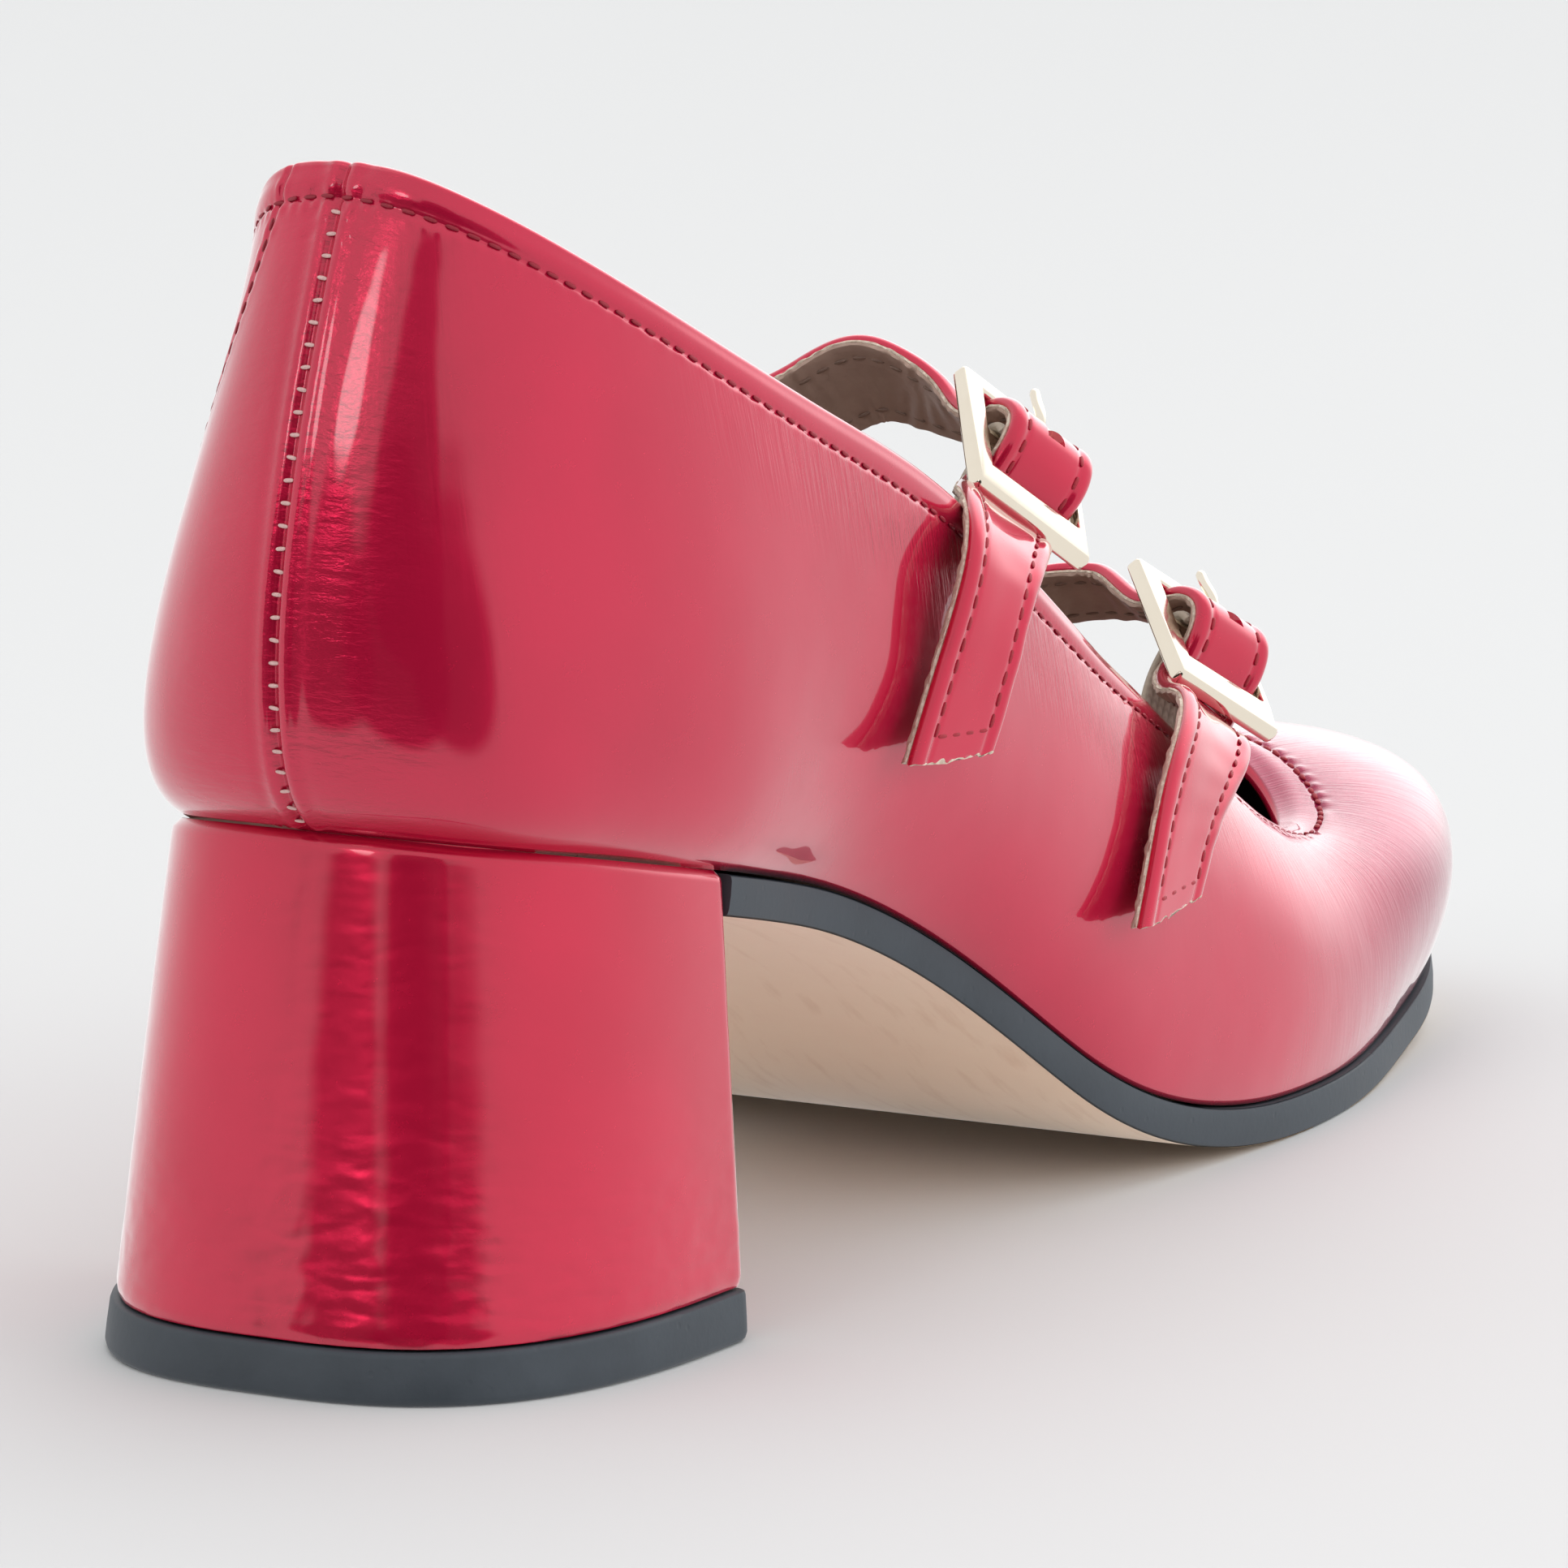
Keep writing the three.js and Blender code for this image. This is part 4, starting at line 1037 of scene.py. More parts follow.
# ---------------------------------------------------------------- sole and heel
@dataclass
class Board:
    """A bent board under the foot, with its own edge profile."""

    bench: Workbench
    shift: float
    lift: float
    thick: float
    start: float | None
    stations: int = 170
    across: int = 26

    def outline(self) -> tuple[Array, Array, Array]:
        """Return the feather loop moved sideways, and its plan directions outwards."""
        form = self.bench.form
        u = np.arange(2400) * len(SECTIONS) / 2400
        ox, oy = form.plan_out(u, "fx", "fy")
        x, y = form.curves["fx"](u), form.curves["fy"](u)
        return x + ox * self.shift, y + oy * self.shift, np.stack([ox, oy], -1)

    def build(self, name: str, profile: Sequence[tuple[float, float]],
              finishes: Sequence["bpy.types.Material"]) -> bpy.types.Object:
        """Write the board.

        Args:
            name: Object name.
            profile: Edge points as (outward, height share) from the bottom face to the top face.
            finishes: Materials of the top face, the edge and the bottom face.

        Returns:
            The closed board.
        """
        form = self.bench.form
        lx, ly, out = self.outline()
        end_x, start_x = lx.max() - 0.02, self.start if self.start is not None else lx.min() + 0.02
        s = np.linspace(0, 1, self.stations)
        even_ends = (1 - np.cos(math.pi * s)) / 2
        eased = even_ends if self.start is None else np.sin(math.pi / 2 * s) * 0.75 + 0.25 * s
        xs = start_x + (end_x - start_x) * eased
        tip = int(np.argmax(lx))
        sides = []
        for side in (slice(0, tip + 1), slice(tip, None)):
            order = np.argsort(lx[side])
            read = [np.interp(xs, lx[side][order], values[side][order]) for values in (ly, *out.T)]
            sides.append((read[0], unit(np.stack(read[1:], -1))))
        (y_near, out_near), (y_far, out_far) = sides
        share = (1 - np.cos(np.linspace(0, math.pi, self.across + 1))) / 2
        plan, heights, kinds = [], [], []
        for push, level in profile:
            plan.append(np.stack([xs, y_near], -1) + out_near * push)
            heights.append(level)
            kinds.append(1)
        kinds[-1] = 0
        for t in share[1:-1]:
            plan.append(np.stack([xs, y_near + (y_far - y_near) * t], -1))
            heights.append(1.0)
            kinds.append(0)
        for push, level in reversed(profile):
            plan.append(np.stack([xs, y_far], -1) + out_far * push)
            heights.append(level)
            kinds.append(1)
        kinds[-1] = 2
        for t in share[-2:0:-1]:
            plan.append(np.stack([xs, y_near + (y_far - y_near) * t], -1))
            heights.append(0.0)
            kinds.append(2)
        plan = np.stack(plan, 1)
        level = np.array(heights)[None, :] * self.thick + self.lift
        base = form.bottom(plan[..., 0])
        slope = (form.bottom(plan[..., 0] + 0.2) - form.bottom(plan[..., 0] - 0.2)) / 0.4
        length = np.hypot(1, slope)
        points = np.stack([plan[..., 0] - slope / length * level, plan[..., 1], base + level / length], -1)
        ring = points.shape[1]
        faces = grid_faces(self.stations, ring, True)[:, ::-1].tolist()
        faces += [list(range(ring)), list(range(points.shape[0] * ring - ring, points.shape[0] * ring))[::-1]]
        ids = np.tile(kinds, self.stations - 1).tolist() + [1, 1]
        piece = self.bench.mesh(name, points, faces, finishes, np.array(ids))
        self.bench.facing_out(piece)
        self.bench.smooth(piece, 35)
        return piece


@dataclass(frozen=True)
class HeelOutline:
    """One D-shaped outline of the heel: its straight breast faces the toe."""

    back: float
    breast: float
    half: float
    middle: float
    power: float
    skew: float

    def towards(self, other: "HeelOutline", f: float) -> "HeelOutline":
        """Return the outline a share of the way to another."""
        mix = {k: getattr(self, k) + (getattr(other, k) - getattr(self, k)) * f
               for k in self.__dataclass_fields__}
        return HeelOutline(**mix)

    def loop(self, round_count: int, breast_count: int, corner: float, grow: float = 0.0) -> Array:
        """Return the closed outline with softened breast corners.

        Args:
            round_count: Points round the back.
            breast_count: Points along the breast.
            corner: Corner radius in millimetres.
            grow: Outward offset in millimetres.

        Returns:
            Plan points, from the lateral breast corner round the back.
        """
        even = np.linspace(-1, 1, round_count)
        t = math.pi / 2 * np.sign(even) * np.abs(even) ** 1.15
        t = np.clip(t, -math.pi / 2, math.pi / 2)
        c = np.abs(np.cos(t)) ** (2 / self.power)
        s = np.sign(np.sin(t)) * np.abs(np.sin(t)) ** (2 / self.power)
        y = self.half * s
        x = self.breast + self.skew * y - (self.breast - self.back) * c
        side = np.stack([x, y + self.middle], -1)
        breast = np.linspace(side[-1], side[0], breast_count + 2)[1:-1]
        loop = np.concatenate([side, breast])
        closed = np.vstack([loop, loop[:1]])
        walk = np.concatenate([[0], np.cumsum(np.linalg.norm(np.diff(closed, axis=0), axis=1))])
        fine = np.linspace(0, walk[-1], 1600, endpoint=False)
        dense = np.stack([np.interp(fine, walk, closed[:, k]) for k in (0, 1)], -1)
        reach = max(1, int(corner / (walk[-1] / 1600)))
        kernel = np.hanning(2 * reach + 3)[1:-1]
        kernel /= kernel.sum()
        padded = np.vstack([dense[-reach:], dense, dense[:reach]])
        soft = np.stack([np.convolve(padded[:, k], kernel, "valid") for k in (0, 1)], -1)
        picks = np.linspace(0, 1600, round_count + breast_count, endpoint=False).astype(int)
        out = np.roll(soft, -1, 0) - np.roll(soft, 1, 0)
        out = unit(np.stack([-out[:, 1], out[:, 0]], -1))
        return (soft + out * grow)[picks]


HEEL_BOTTOM = HeelOutline(back=-6.4, breast=36.2, half=28.5, middle=-0.9, power=2.8, skew=0.02)
HEEL_SEAT = HeelOutline(back=4.2, breast=41.2, half=24.8, middle=1.1, power=2.5, skew=0.0)


@dataclass
class HeelStack:
    """The wrapped heel block and the rubber top piece under it."""

    bench: Workbench
    finishes: Finishes
    base: float = 5.1
    rows: int = 78

    def rings(self, name: str, rings: list[Array], finishes: Sequence["bpy.types.Material"], ids: Array,
              marks: dict[str, Array] | None = None) -> bpy.types.Object:
        """Close a stack of rings into one piece with shrinking end faces."""
        count = len(rings[0])
        first, last = ([ring.mean(0) + (ring - ring.mean(0)) * share for share in (0.001, 0.5, 0.85, 0.97)]
                       for ring in (rings[0], rings[-1]))
        stack = first + rings + last[::-1]
        points = np.stack(stack)
        faces = grid_faces(len(stack), count, True)[:, ::-1]
        kinds = np.concatenate([np.full(4, ids[0]), ids, np.full(4, ids[-1])])[:len(stack) - 1]
        caps = np.zeros((4, count))
        marks = {name: np.concatenate([caps, values, caps]) for name, values in (marks or {}).items()}
        piece = self.bench.mesh(name, points, faces, finishes, np.repeat(kinds, count), None, marks)
        self.bench.facing_out(piece)
        self.bench.smooth(piece, 40)
        return piece

    def build(self) -> None:
        """Write the heel block and the top piece."""
        form = self.bench.form
        start = self.base / HEEL_HEIGHT
        rings, lows = [], []
        for k in range(self.rows + 1):
            f = k / self.rows
            shape = HEEL_BOTTOM.towards(HEEL_SEAT, start + (1 - start) * f)
            end = 0.35 * (hump(f, 0, 0.012) + 2.2 * hump(f, 1, 0.008))
            loop = shape.loop(*HEEL_LOOP, -float(end))
            seat = form.bottom(loop[:, 0])
            ring = np.column_stack([loop, self.base + (seat - self.base) * f + 0.28 * hump(f, 1, 0.008)])
            out = np.roll(ring, -1, 0) - np.roll(ring, 1, 0)
            out = unit(np.stack([-out[:, 1], out[:, 0], np.zeros(len(out))], -1))
            x, y, z = ring.T
            walk = np.arctan2(y, x - 20) * 28
            wave = 0.008 * ripples(walk, z, 9, 21) + 0.03 * ripples(walk, z * 0.6, 26, 22)
            wave += 0.014 * ripples(walk, z, 2.6, 23) * (1 - smooth(f, 0.05, 0.5))
            rings.append(ring + out * wave[:, None])
            lows.append(np.full(len(ring), float(1 - smooth(f, 0.1, 0.55))))
        kinds = np.zeros(len(rings), int)
        kinds[-1] = 1
        piece = self.rings("heel_block", rings, [self.finishes.wrapped, self.finishes.sock], kinds,
                           {"low": np.stack(lows)})
        self.bench.fix(piece, "patent_leather", ["heel"])
        rings = []
        edge = ((0, -0.35), (0.12, -0.1), (0.4, 0.2), (0.9, 0.4), (2.4, 0.42), (4.3, 0.4),
                (4.66, 0.3), (4.8, 0.05))
        for z, grow in edge:
            shape = HEEL_BOTTOM.towards(HEEL_SEAT, z / HEEL_HEIGHT)
            loop = shape.loop(*HEEL_LOOP, grow)
            rings.append(np.column_stack([loop, np.full(len(loop), z)]))
        piece = self.rings("heel_top_piece", rings, [self.finishes.rubber], np.zeros(len(rings), int))
        self.bench.fix(piece, "sole_rubber", ["top_piece"])


# ---------------------------------------------------------------- straps, buckles and elastics
@dataclass(frozen=True)
class StrapPlan:
    """Where one strap runs: its roots, arch and tail, its buckle and its elastic."""

    name: str
    centre: tuple[float, float, float]
    run: tuple[float, float, float]
    across: tuple[float, float, float]
    root: tuple[tuple[float, ...], ...]
    arch: tuple[tuple[float, ...], ...]
    tail: tuple[tuple[float, ...], ...]
    elastic: tuple[tuple[float, ...], ...]
    slant: float
    exit: tuple[float, float, float]


REAR = StrapPlan(
    "rear", (103.2, -24.3, 75), (-0.69, -0.46, -0.56), (0.8, -0.33, -0.5),
    root=((96, 52, 0.3), (100, 60, 0.6)),
    arch=((105, 17, 68.5, 34, -4), (108, 9.5, 75, 42, -1), (110.2, 3.5, 78.2, 47, 2),
          (111.3, -2.5, 80.9, 49, 7), (111.6, -8, 79.6, 47, 12)),
    tail=((79.8, 65, 4.1, 26, 9), (76.3, 58.7, 3.4, 18, 11.5), (72.3, 51, 3.4, 10, 11)),
    elastic=((94, 55, 0.3), (97, 61, 0.5)), slant=-6, exit=(2.2, -3, 0.3))
FRONT = StrapPlan(
    "front", (154.2, -19.8, 49.4), (-0.56, -0.585, -0.59), (0.76, -0.35, -0.55),
    root=((137, 31, 0.6), (140.5, 38, 1.7)),
    arch=((149.5, 14.5, 45.8, 24, -6), (156.5, 7, 50, 28, -2), (161, 0, 52.3, 30, 4),
          (161.4, -6, 52.6, 32, 10)),
    tail=((139.4, 41.5, 3.2, 22, -3), (125.6, 37, 2.3, 15, -2), (116.2, 28.2, 2.4, 12, -3)),
    elastic=((141, 30, 1.8), (145, 36, 2.9)), slant=-12, exit=(1.6, -2.6, -0.6))


def width_direction(dip: float, swing: float) -> Array:
    """Return a strap's width direction from its dip to the toe and its swing to the lateral side."""
    d, s = math.radians(dip), math.radians(swing)
    return np.array([math.cos(d) * math.cos(s), -math.cos(d) * math.sin(s), -math.sin(d)])


@dataclass
class BuckleAxes:
    """A buckle's own directions: run along the strap, across its width, face away from the foot."""

    plan: StrapPlan

    def __post_init__(self) -> None:
        """Square the three directions up."""
        self.centre = np.array(self.plan.centre, float)
        self.run = unit(np.array(self.plan.run, float))
        across = np.array(self.plan.across, float)
        self.across = unit(across - self.run * (across @ self.run))
        self.face = unit(np.cross(self.run, self.across))

    def at(self, along: float, side: float, out: float) -> Array:
        """Return a point given in the buckle's own directions."""
        return self.centre + self.run * along + self.across * side + self.face * out

    def matrix(self, shift: Array) -> Matrix:
        """Return the matrix from the buckle's millimetres to the frame's metres."""
        turn = np.stack([self.run, self.across, self.face], -1) * MM
        place = (self.centre - shift) * MM
        rows = [[*turn[k], place[k]] for k in range(3)]
        return Matrix(rows + [[0, 0, 0, 1]])


@dataclass
class Band:
    """A ribbon through rows of points, each with its own width direction."""

    points: Array
    widths: Array
    width: float
    slant: float = 0.0

    def __post_init__(self) -> None:
        """Fit the curves by chord length."""
        chord = np.concatenate([[0], np.cumsum(np.linalg.norm(np.diff(self.points, axis=0), axis=1))])
        self.total = float(chord[-1])
        self.track = [open_curve(chord, self.points[:, k]) for k in range(3)]
        self.lean = [open_curve(chord, self.widths[:, k]) for k in range(3)]

    def line(self, curves: list[Callable[[Array], Array]], s: Array) -> Array:
        """Return three curves as vectors."""
        return np.stack([curve(s) for curve in curves], -1)

    def at(self, t: Array, side: Array) -> tuple[Array, Array, Array, Array]:
        """Read the ribbon.

        Args:
            t: 0 at its first row and 1 at its last.
            side: Distance from its middle line, in millimetres.

        Returns:
            Points, and the directions along, across and away from the foot.
        """
        t, side = np.broadcast_arrays(np.asarray(t, float), np.asarray(side, float))
        s = self.total * t + self.slant * (side * 2 / self.width) * t * t / 2
        tangent = unit(self.line(self.track, s + 0.05) - self.line(self.track, s - 0.05))
        across = self.line(self.lean, s)
        across = unit(across - tangent * np.sum(across * tangent, -1, keepdims=True))
        face = unit(np.cross(tangent, across))
        return self.line(self.track, s) + across * side[..., None], tangent, across, face


@dataclass
class Strap:
    """One strap: padded patent leather over a taupe backing, with raw edges and sewn borders."""

    bench: Workbench
    finishes: Finishes
    stitch: StitchRow
    plan: StrapPlan
    axes: BuckleAxes
    width: float = 11.5
    thick: float = 1.7
    steps: int = 420

    def band(self) -> Band:
        """Return the ribbon from the inner root over the arch, through the buckle and down the tail."""
        form, plan, axes = self.bench.form, self.plan, self.axes
        points, widths = [], []
        for x, z, lift in plan.root:
            point, normal = form.side_point(x, z, MEDIAL_START)
            points.append(point - normal * (form.wall + form.gap + self.thick / 2 + lift))
            widths.append(unit(np.cross([-0.4, 0, -0.92], normal)))
        for x, y, z, dip, swing in plan.arch:
            points.append(np.array([x, y, z]))
            widths.append(width_direction(dip, swing))
        along, side, rise = plan.exit
        weave = [(-9.3, 0, -5.0, 0), (-5.3, 0, -2.6, 0), (-3.4, 0, 1.1, 0), (-0.6, 0, 2.7, 0),
                 (2.4, -0.1, 1.3, 0), (5.3, -0.4, -2.9, 0.2), (7 + along, side, -2.35 + rise, 0.6)]
        tail_width = width_direction(plan.tail[0][3], plan.tail[0][4])
        for a, s, o, turn in weave:
            points.append(axes.at(a, s, o))
            widths.append(axes.across * (1 - turn) + tail_width * turn)
        for x, z, lift, dip, swing in plan.tail:
            point, normal = form.side_point(x, z, LATERAL_START)
            points.append(point + normal * lift)
            widths.append(width_direction(dip, swing))
        return Band(np.array(points), np.array(widths), self.width, plan.slant)

    def section(self) -> tuple[Array, Array, Array]:
        """Return the cut through the strap: side places, heights and finish numbers."""
        half, top = self.width / 2, self.thick / 2
        side, height, kind = [], [], []
        for y in np.linspace(-half + 0.5, half - 0.5, 43):
            side.append(y)
            bead = 0.2 * math.exp(-(((abs(y) - half + 1.0) / 0.6) ** 2))
            groove = 0.13 * math.exp(-(((abs(y) - half + 1.95) / 0.3) ** 2))
            height.append(top + bead - groove + 0.08 * (1 - (y / half) ** 2))
            kind.append(0)
        rim = [(half - 0.24, top - 0.08, 0), (half - 0.07, top - 0.28, 0), (half, top - 0.6, 0),
               (half - 0.02, top - 0.92, 0), (half - 0.1, top - 0.99, 2), (half + 0.03, top - 1.04, 2),
               (half + 0.03, top - 1.28, 2), (half - 0.06, top - 1.33, 1), (half - 0.02, top - 1.42, 1),
               (half - 0.12, -top + 0.06, 1)]
        for y, z, k in rim:
            side.append(y)
            height.append(z)
            kind.append(k)
        for y in np.linspace(half - 0.4, -half + 0.4, 25):
            side.append(y)
            groove = 0.1 * math.exp(-(((abs(y) - half + 1.95) / 0.3) ** 2))
            height.append(-top + groove)
            kind.append(1)
        for k in range(len(rim) - 1, -1, -1):
            side.append(-rim[k][0])
            height.append(rim[k][1])
            kind.append(rim[k - 1][2] if k else 0)
        return np.array(side), np.array(height), np.array(kind)

    def build(self) -> None:
        """Write the strap, cut its prong slot and sew its borders."""
        band = self.band()
        side, height, kind = self.section()
        t = np.linspace(0, 1, self.steps + 1)[:, None]
        points, _, across, face = band.at(t, side[None, :])
        s = t * band.total
        edge = kind[None, :] == 2
        rough = 0.07 * ripples(s + side * 0.2, height * 3 + side, 1.3, 31) * edge
        proud = np.sign(side)[None, :] * rough
        wave = 0.03 * ripples(s, side[None, :] * 1.0, 5, 33)
        bulge = np.where(height[None, :] > 0, wave, 0)
        hang = (height[None, :] < -0.7) * 0.07 * ripples(s, side[None, :] * 0.25, 2.0, 35)
        level = height[None, :] + bulge + hang
        points = points + face * level[..., None] + across * proud[..., None]
        ring = len(side)
        faces = grid_faces(self.steps + 1, ring, True).tolist()
        ids = np.tile(kind, self.steps)
        shrink = []
        tail_end = unit(points[-1].mean(0) - points[-4].mean(0))
        points[-1] += (0.16 * ripples(side, height * 2, 1.1, 41))[:, None] * tail_end
        for row, step in ((0, -0.12), (self.steps, 0.12)):
            middle = points[row].mean(0)
            along = unit(points[min(row + 1, self.steps)].mean(0) - points[max(row - 1, 0)].mean(0))
            shrink.append(middle + (points[row] - middle) * 0.93 + along * step)
        first, last = len(points) * ring, (len(points) + 1) * ring
        points = np.concatenate([points, np.stack(shrink)])
        for k in range(ring):
            j = (k + 1) % ring
            faces.append([first + k, first + j, j, k])
            faces.append([self.steps * ring + k, self.steps * ring + j, last + j, last + k])
        faces += [[first + k for k in range(ring)][::-1], [last + k for k in range(ring)]]
        ids = np.concatenate([ids, np.full(2 * ring + 2, 2)])
        piece = self.bench.mesh(f"strap_{self.plan.name}_leather", points, faces,
                                [self.finishes.strap, self.finishes.backing, self.finishes.raw], ids)
        self.bench.facing_out(piece)
        self.bench.cut(piece, self.bench.block(self.axes, (6.2, 2.4, 12), (-3.1, 0, 1)))
        self.bench.smooth(piece, 50)
        self.bench.fix(piece, "patent_leather", [f"strap_{self.plan.name}"])
        self.sew(band)

    def sew(self, band: Band) -> None:
        """Sew both borders and the tail end, on the patent face and the backing."""
        half = self.width / 2 - 1.95
        fine = np.linspace(0.0, 1, 900)
        at, run, out = [], [], []
        end = 1 - 2.6 / band.total
        for side in (-half, half):
            line, along, _, face = band.at(fine[fine < end], side)
            steps = resample(line, 2.2, 1.0)
            at.append(at_steps(line, steps))
            run.append(at_steps(along, steps))
            out.append(at_steps(face, steps))
        line, _, _, face = band.at(np.full(4, end), np.linspace(-half + 1.0, half - 1.0, 4))
        at.append(line)
        run.append(np.gradient(line, axis=0))
        out.append(face)
        at, run, out = np.concatenate(at), np.concatenate(run), np.concatenate(out)
        top = self.thick / 2
        name = self.plan.name
        piece = self.stitch.sew(f"strap_{name}_stitches", at + out * (top - 0.02), run, out, 1.45, 0.5,
                                self.finishes.red_thread)
        self.bench.fix(piece, "patent_leather")
        piece = self.stitch.sew(f"strap_{name}_back_stitches", at - out * (top - 0.02), run, -out, 1.45, 0.45,
                                self.finishes.beige_thread)
        self.bench.fix(piece, "patent_leather")


@dataclass
class Buckle:
    """A flat bowed centre-bar buckle with its prong."""

    bench: Workbench
    finishes: Finishes
    plan: StrapPlan
    axes: BuckleAxes
    length: float = 17.4
    width: float = 16.4
    thick: float = 1.9
    end_bar: float = 3.4
    side_bar: float = 1.8
    bar_radius: float = 0.8
    bar_drop: float = 0.7
    prong_radius: float = 0.55
    bow: float = 1.3

    def plate(self, length: float, width: float, thick: float, corner: float) -> bpy.types.Object:
        """Model a flat plate with rounded corners."""
        bpy.ops.object.select_all(action="DESELECT")
        bpy.ops.mesh.primitive_cube_add(size=1)
        piece = bpy.context.active_object
        bpy.ops.object.mode_set(mode="EDIT")
        bpy.ops.mesh.select_all(action="SELECT")
        bpy.ops.transform.resize(value=(length, width, thick))
        bpy.ops.mesh.select_all(action="DESELECT")
        shape = bmesh.from_edit_mesh(piece.data)
        for edge in shape.edges:
            edge.select_set(abs(edge.verts[0].co.z - edge.verts[1].co.z) > thick / 2)
        shape.select_flush(True)
        bmesh.update_edit_mesh(piece.data)
        bpy.ops.mesh.bevel(offset=corner, segments=8, affect="EDGES")
        bpy.ops.object.mode_set(mode="OBJECT")
        return piece

    def build(self) -> None:
        """Model the frame with its centre bar, and the prong."""
        name = self.plan.name
        frame = self.plate(self.length, self.width, self.thick, 2.0)
        opening = self.plate(self.length - 2 * self.end_bar, self.width - 2 * self.side_bar, 4, 0.8)
        self.bench.cut(frame, opening)
        frame.name = f"buckle_{name}_frame"
        self.bench.only(frame)
        tool = frame.modifiers.new("edge", "BEVEL")
        tool.width, tool.segments, tool.limit_method = 0.6, 4, "ANGLE"
        tool.angle_limit = math.radians(50)
        bpy.ops.object.modifier_apply(modifier=tool.name)
        bpy.ops.object.select_all(action="DESELECT")
        bpy.ops.mesh.primitive_cylinder_add(vertices=28, radius=self.bar_radius,
                                            depth=self.width - self.side_bar)
        bpy.ops.object.mode_set(mode="EDIT")
        bpy.ops.mesh.select_all(action="SELECT")
        bpy.ops.transform.rotate(value=math.pi / 2, orient_axis="X", center_override=(0, 0, 0))
        bpy.ops.transform.translate(value=(0, 0, -self.bar_drop))
        bpy.ops.object.mode_set(mode="OBJECT")
        frame.select_set(True)
        bpy.context.view_layer.objects.active = frame
        bpy.ops.object.join()
        for vertex in frame.data.vertices:
            vertex.co.z -= self.bow * (vertex.co.x * 2 / self.length) ** 2
        frame.data.materials.clear()
        frame.data.materials.append(self.finishes.gold)
        frame.data.transform(self.axes.matrix(self.bench.form.shift))
        self.bench.smooth(frame, 42)
        self.bench.fix(frame, "buckle_metal", [f"buckle_frame_{name}"])
        self.prong()

    def prong(self) -> None:
        """Model the prong: a hook round the centre bar and a straight arm over the far bar."""
        hook = self.bar_radius + 0.3 + self.prong_radius
        turns = [math.radians(-170 + 26 * i) for i in range(11)]
        path = [(hook * math.cos(turn), hook * math.sin(turn) - self.bar_drop) for turn in turns]
        tip, rest = self.length / 2 + 0.4, self.thick / 2 + 0.3 + self.prong_radius
        path += [(-2.6, hook - self.bar_drop + 0.45), (-5, rest + 0.25), (-tip + 2, rest + 0.05),
                 (-tip, rest - 0.05)]
        knots = np.array([self.axes.at(a, 0, n) for a, n in path])
        chord = np.concatenate([[0], np.cumsum(np.linalg.norm(np.diff(knots, axis=0), axis=1))])
        curves = [open_curve(chord, knots[:, k]) for k in range(3)]
        s = np.concatenate([[0, 0.1, 0.3], np.linspace(0.6, chord[-1] - 0.6, 84),
                            chord[-1] - np.array([0.3, 0.12, 0])])
        size = np.concatenate([[0.35, 0.7, 0.92], np.ones(84), [0.9, 0.65, 0.25]]) * self.prong_radius
        middle = np.stack([c(s) for c in curves], -1)
        tangent = unit(np.stack([c(s + 0.02) - c(s - 0.02) for c in curves], -1))
        normal = unit(np.cross(tangent, self.axes.across))
        turn = np.linspace(0, math.tau, 16, endpoint=False)
        points = middle[:, None] + size[:, None, None] * (self.axes.across * np.cos(turn)[None, :, None]
                                                          + normal[:, None] * np.sin(turn)[None, :, None])
        faces = grid_faces(len(s), 16, True).tolist()
        faces += [list(range(16)), list(range((len(s) - 1) * 16, len(s) * 16))]
        piece = self.bench.mesh(f"buckle_{self.plan.name}_prong", points, faces, [self.finishes.gold])
        self.bench.facing_out(piece)
        self.bench.smooth(piece, 60)
        self.bench.fix(piece, "buckle_metal", [f"buckle_prong_{self.plan.name}"])


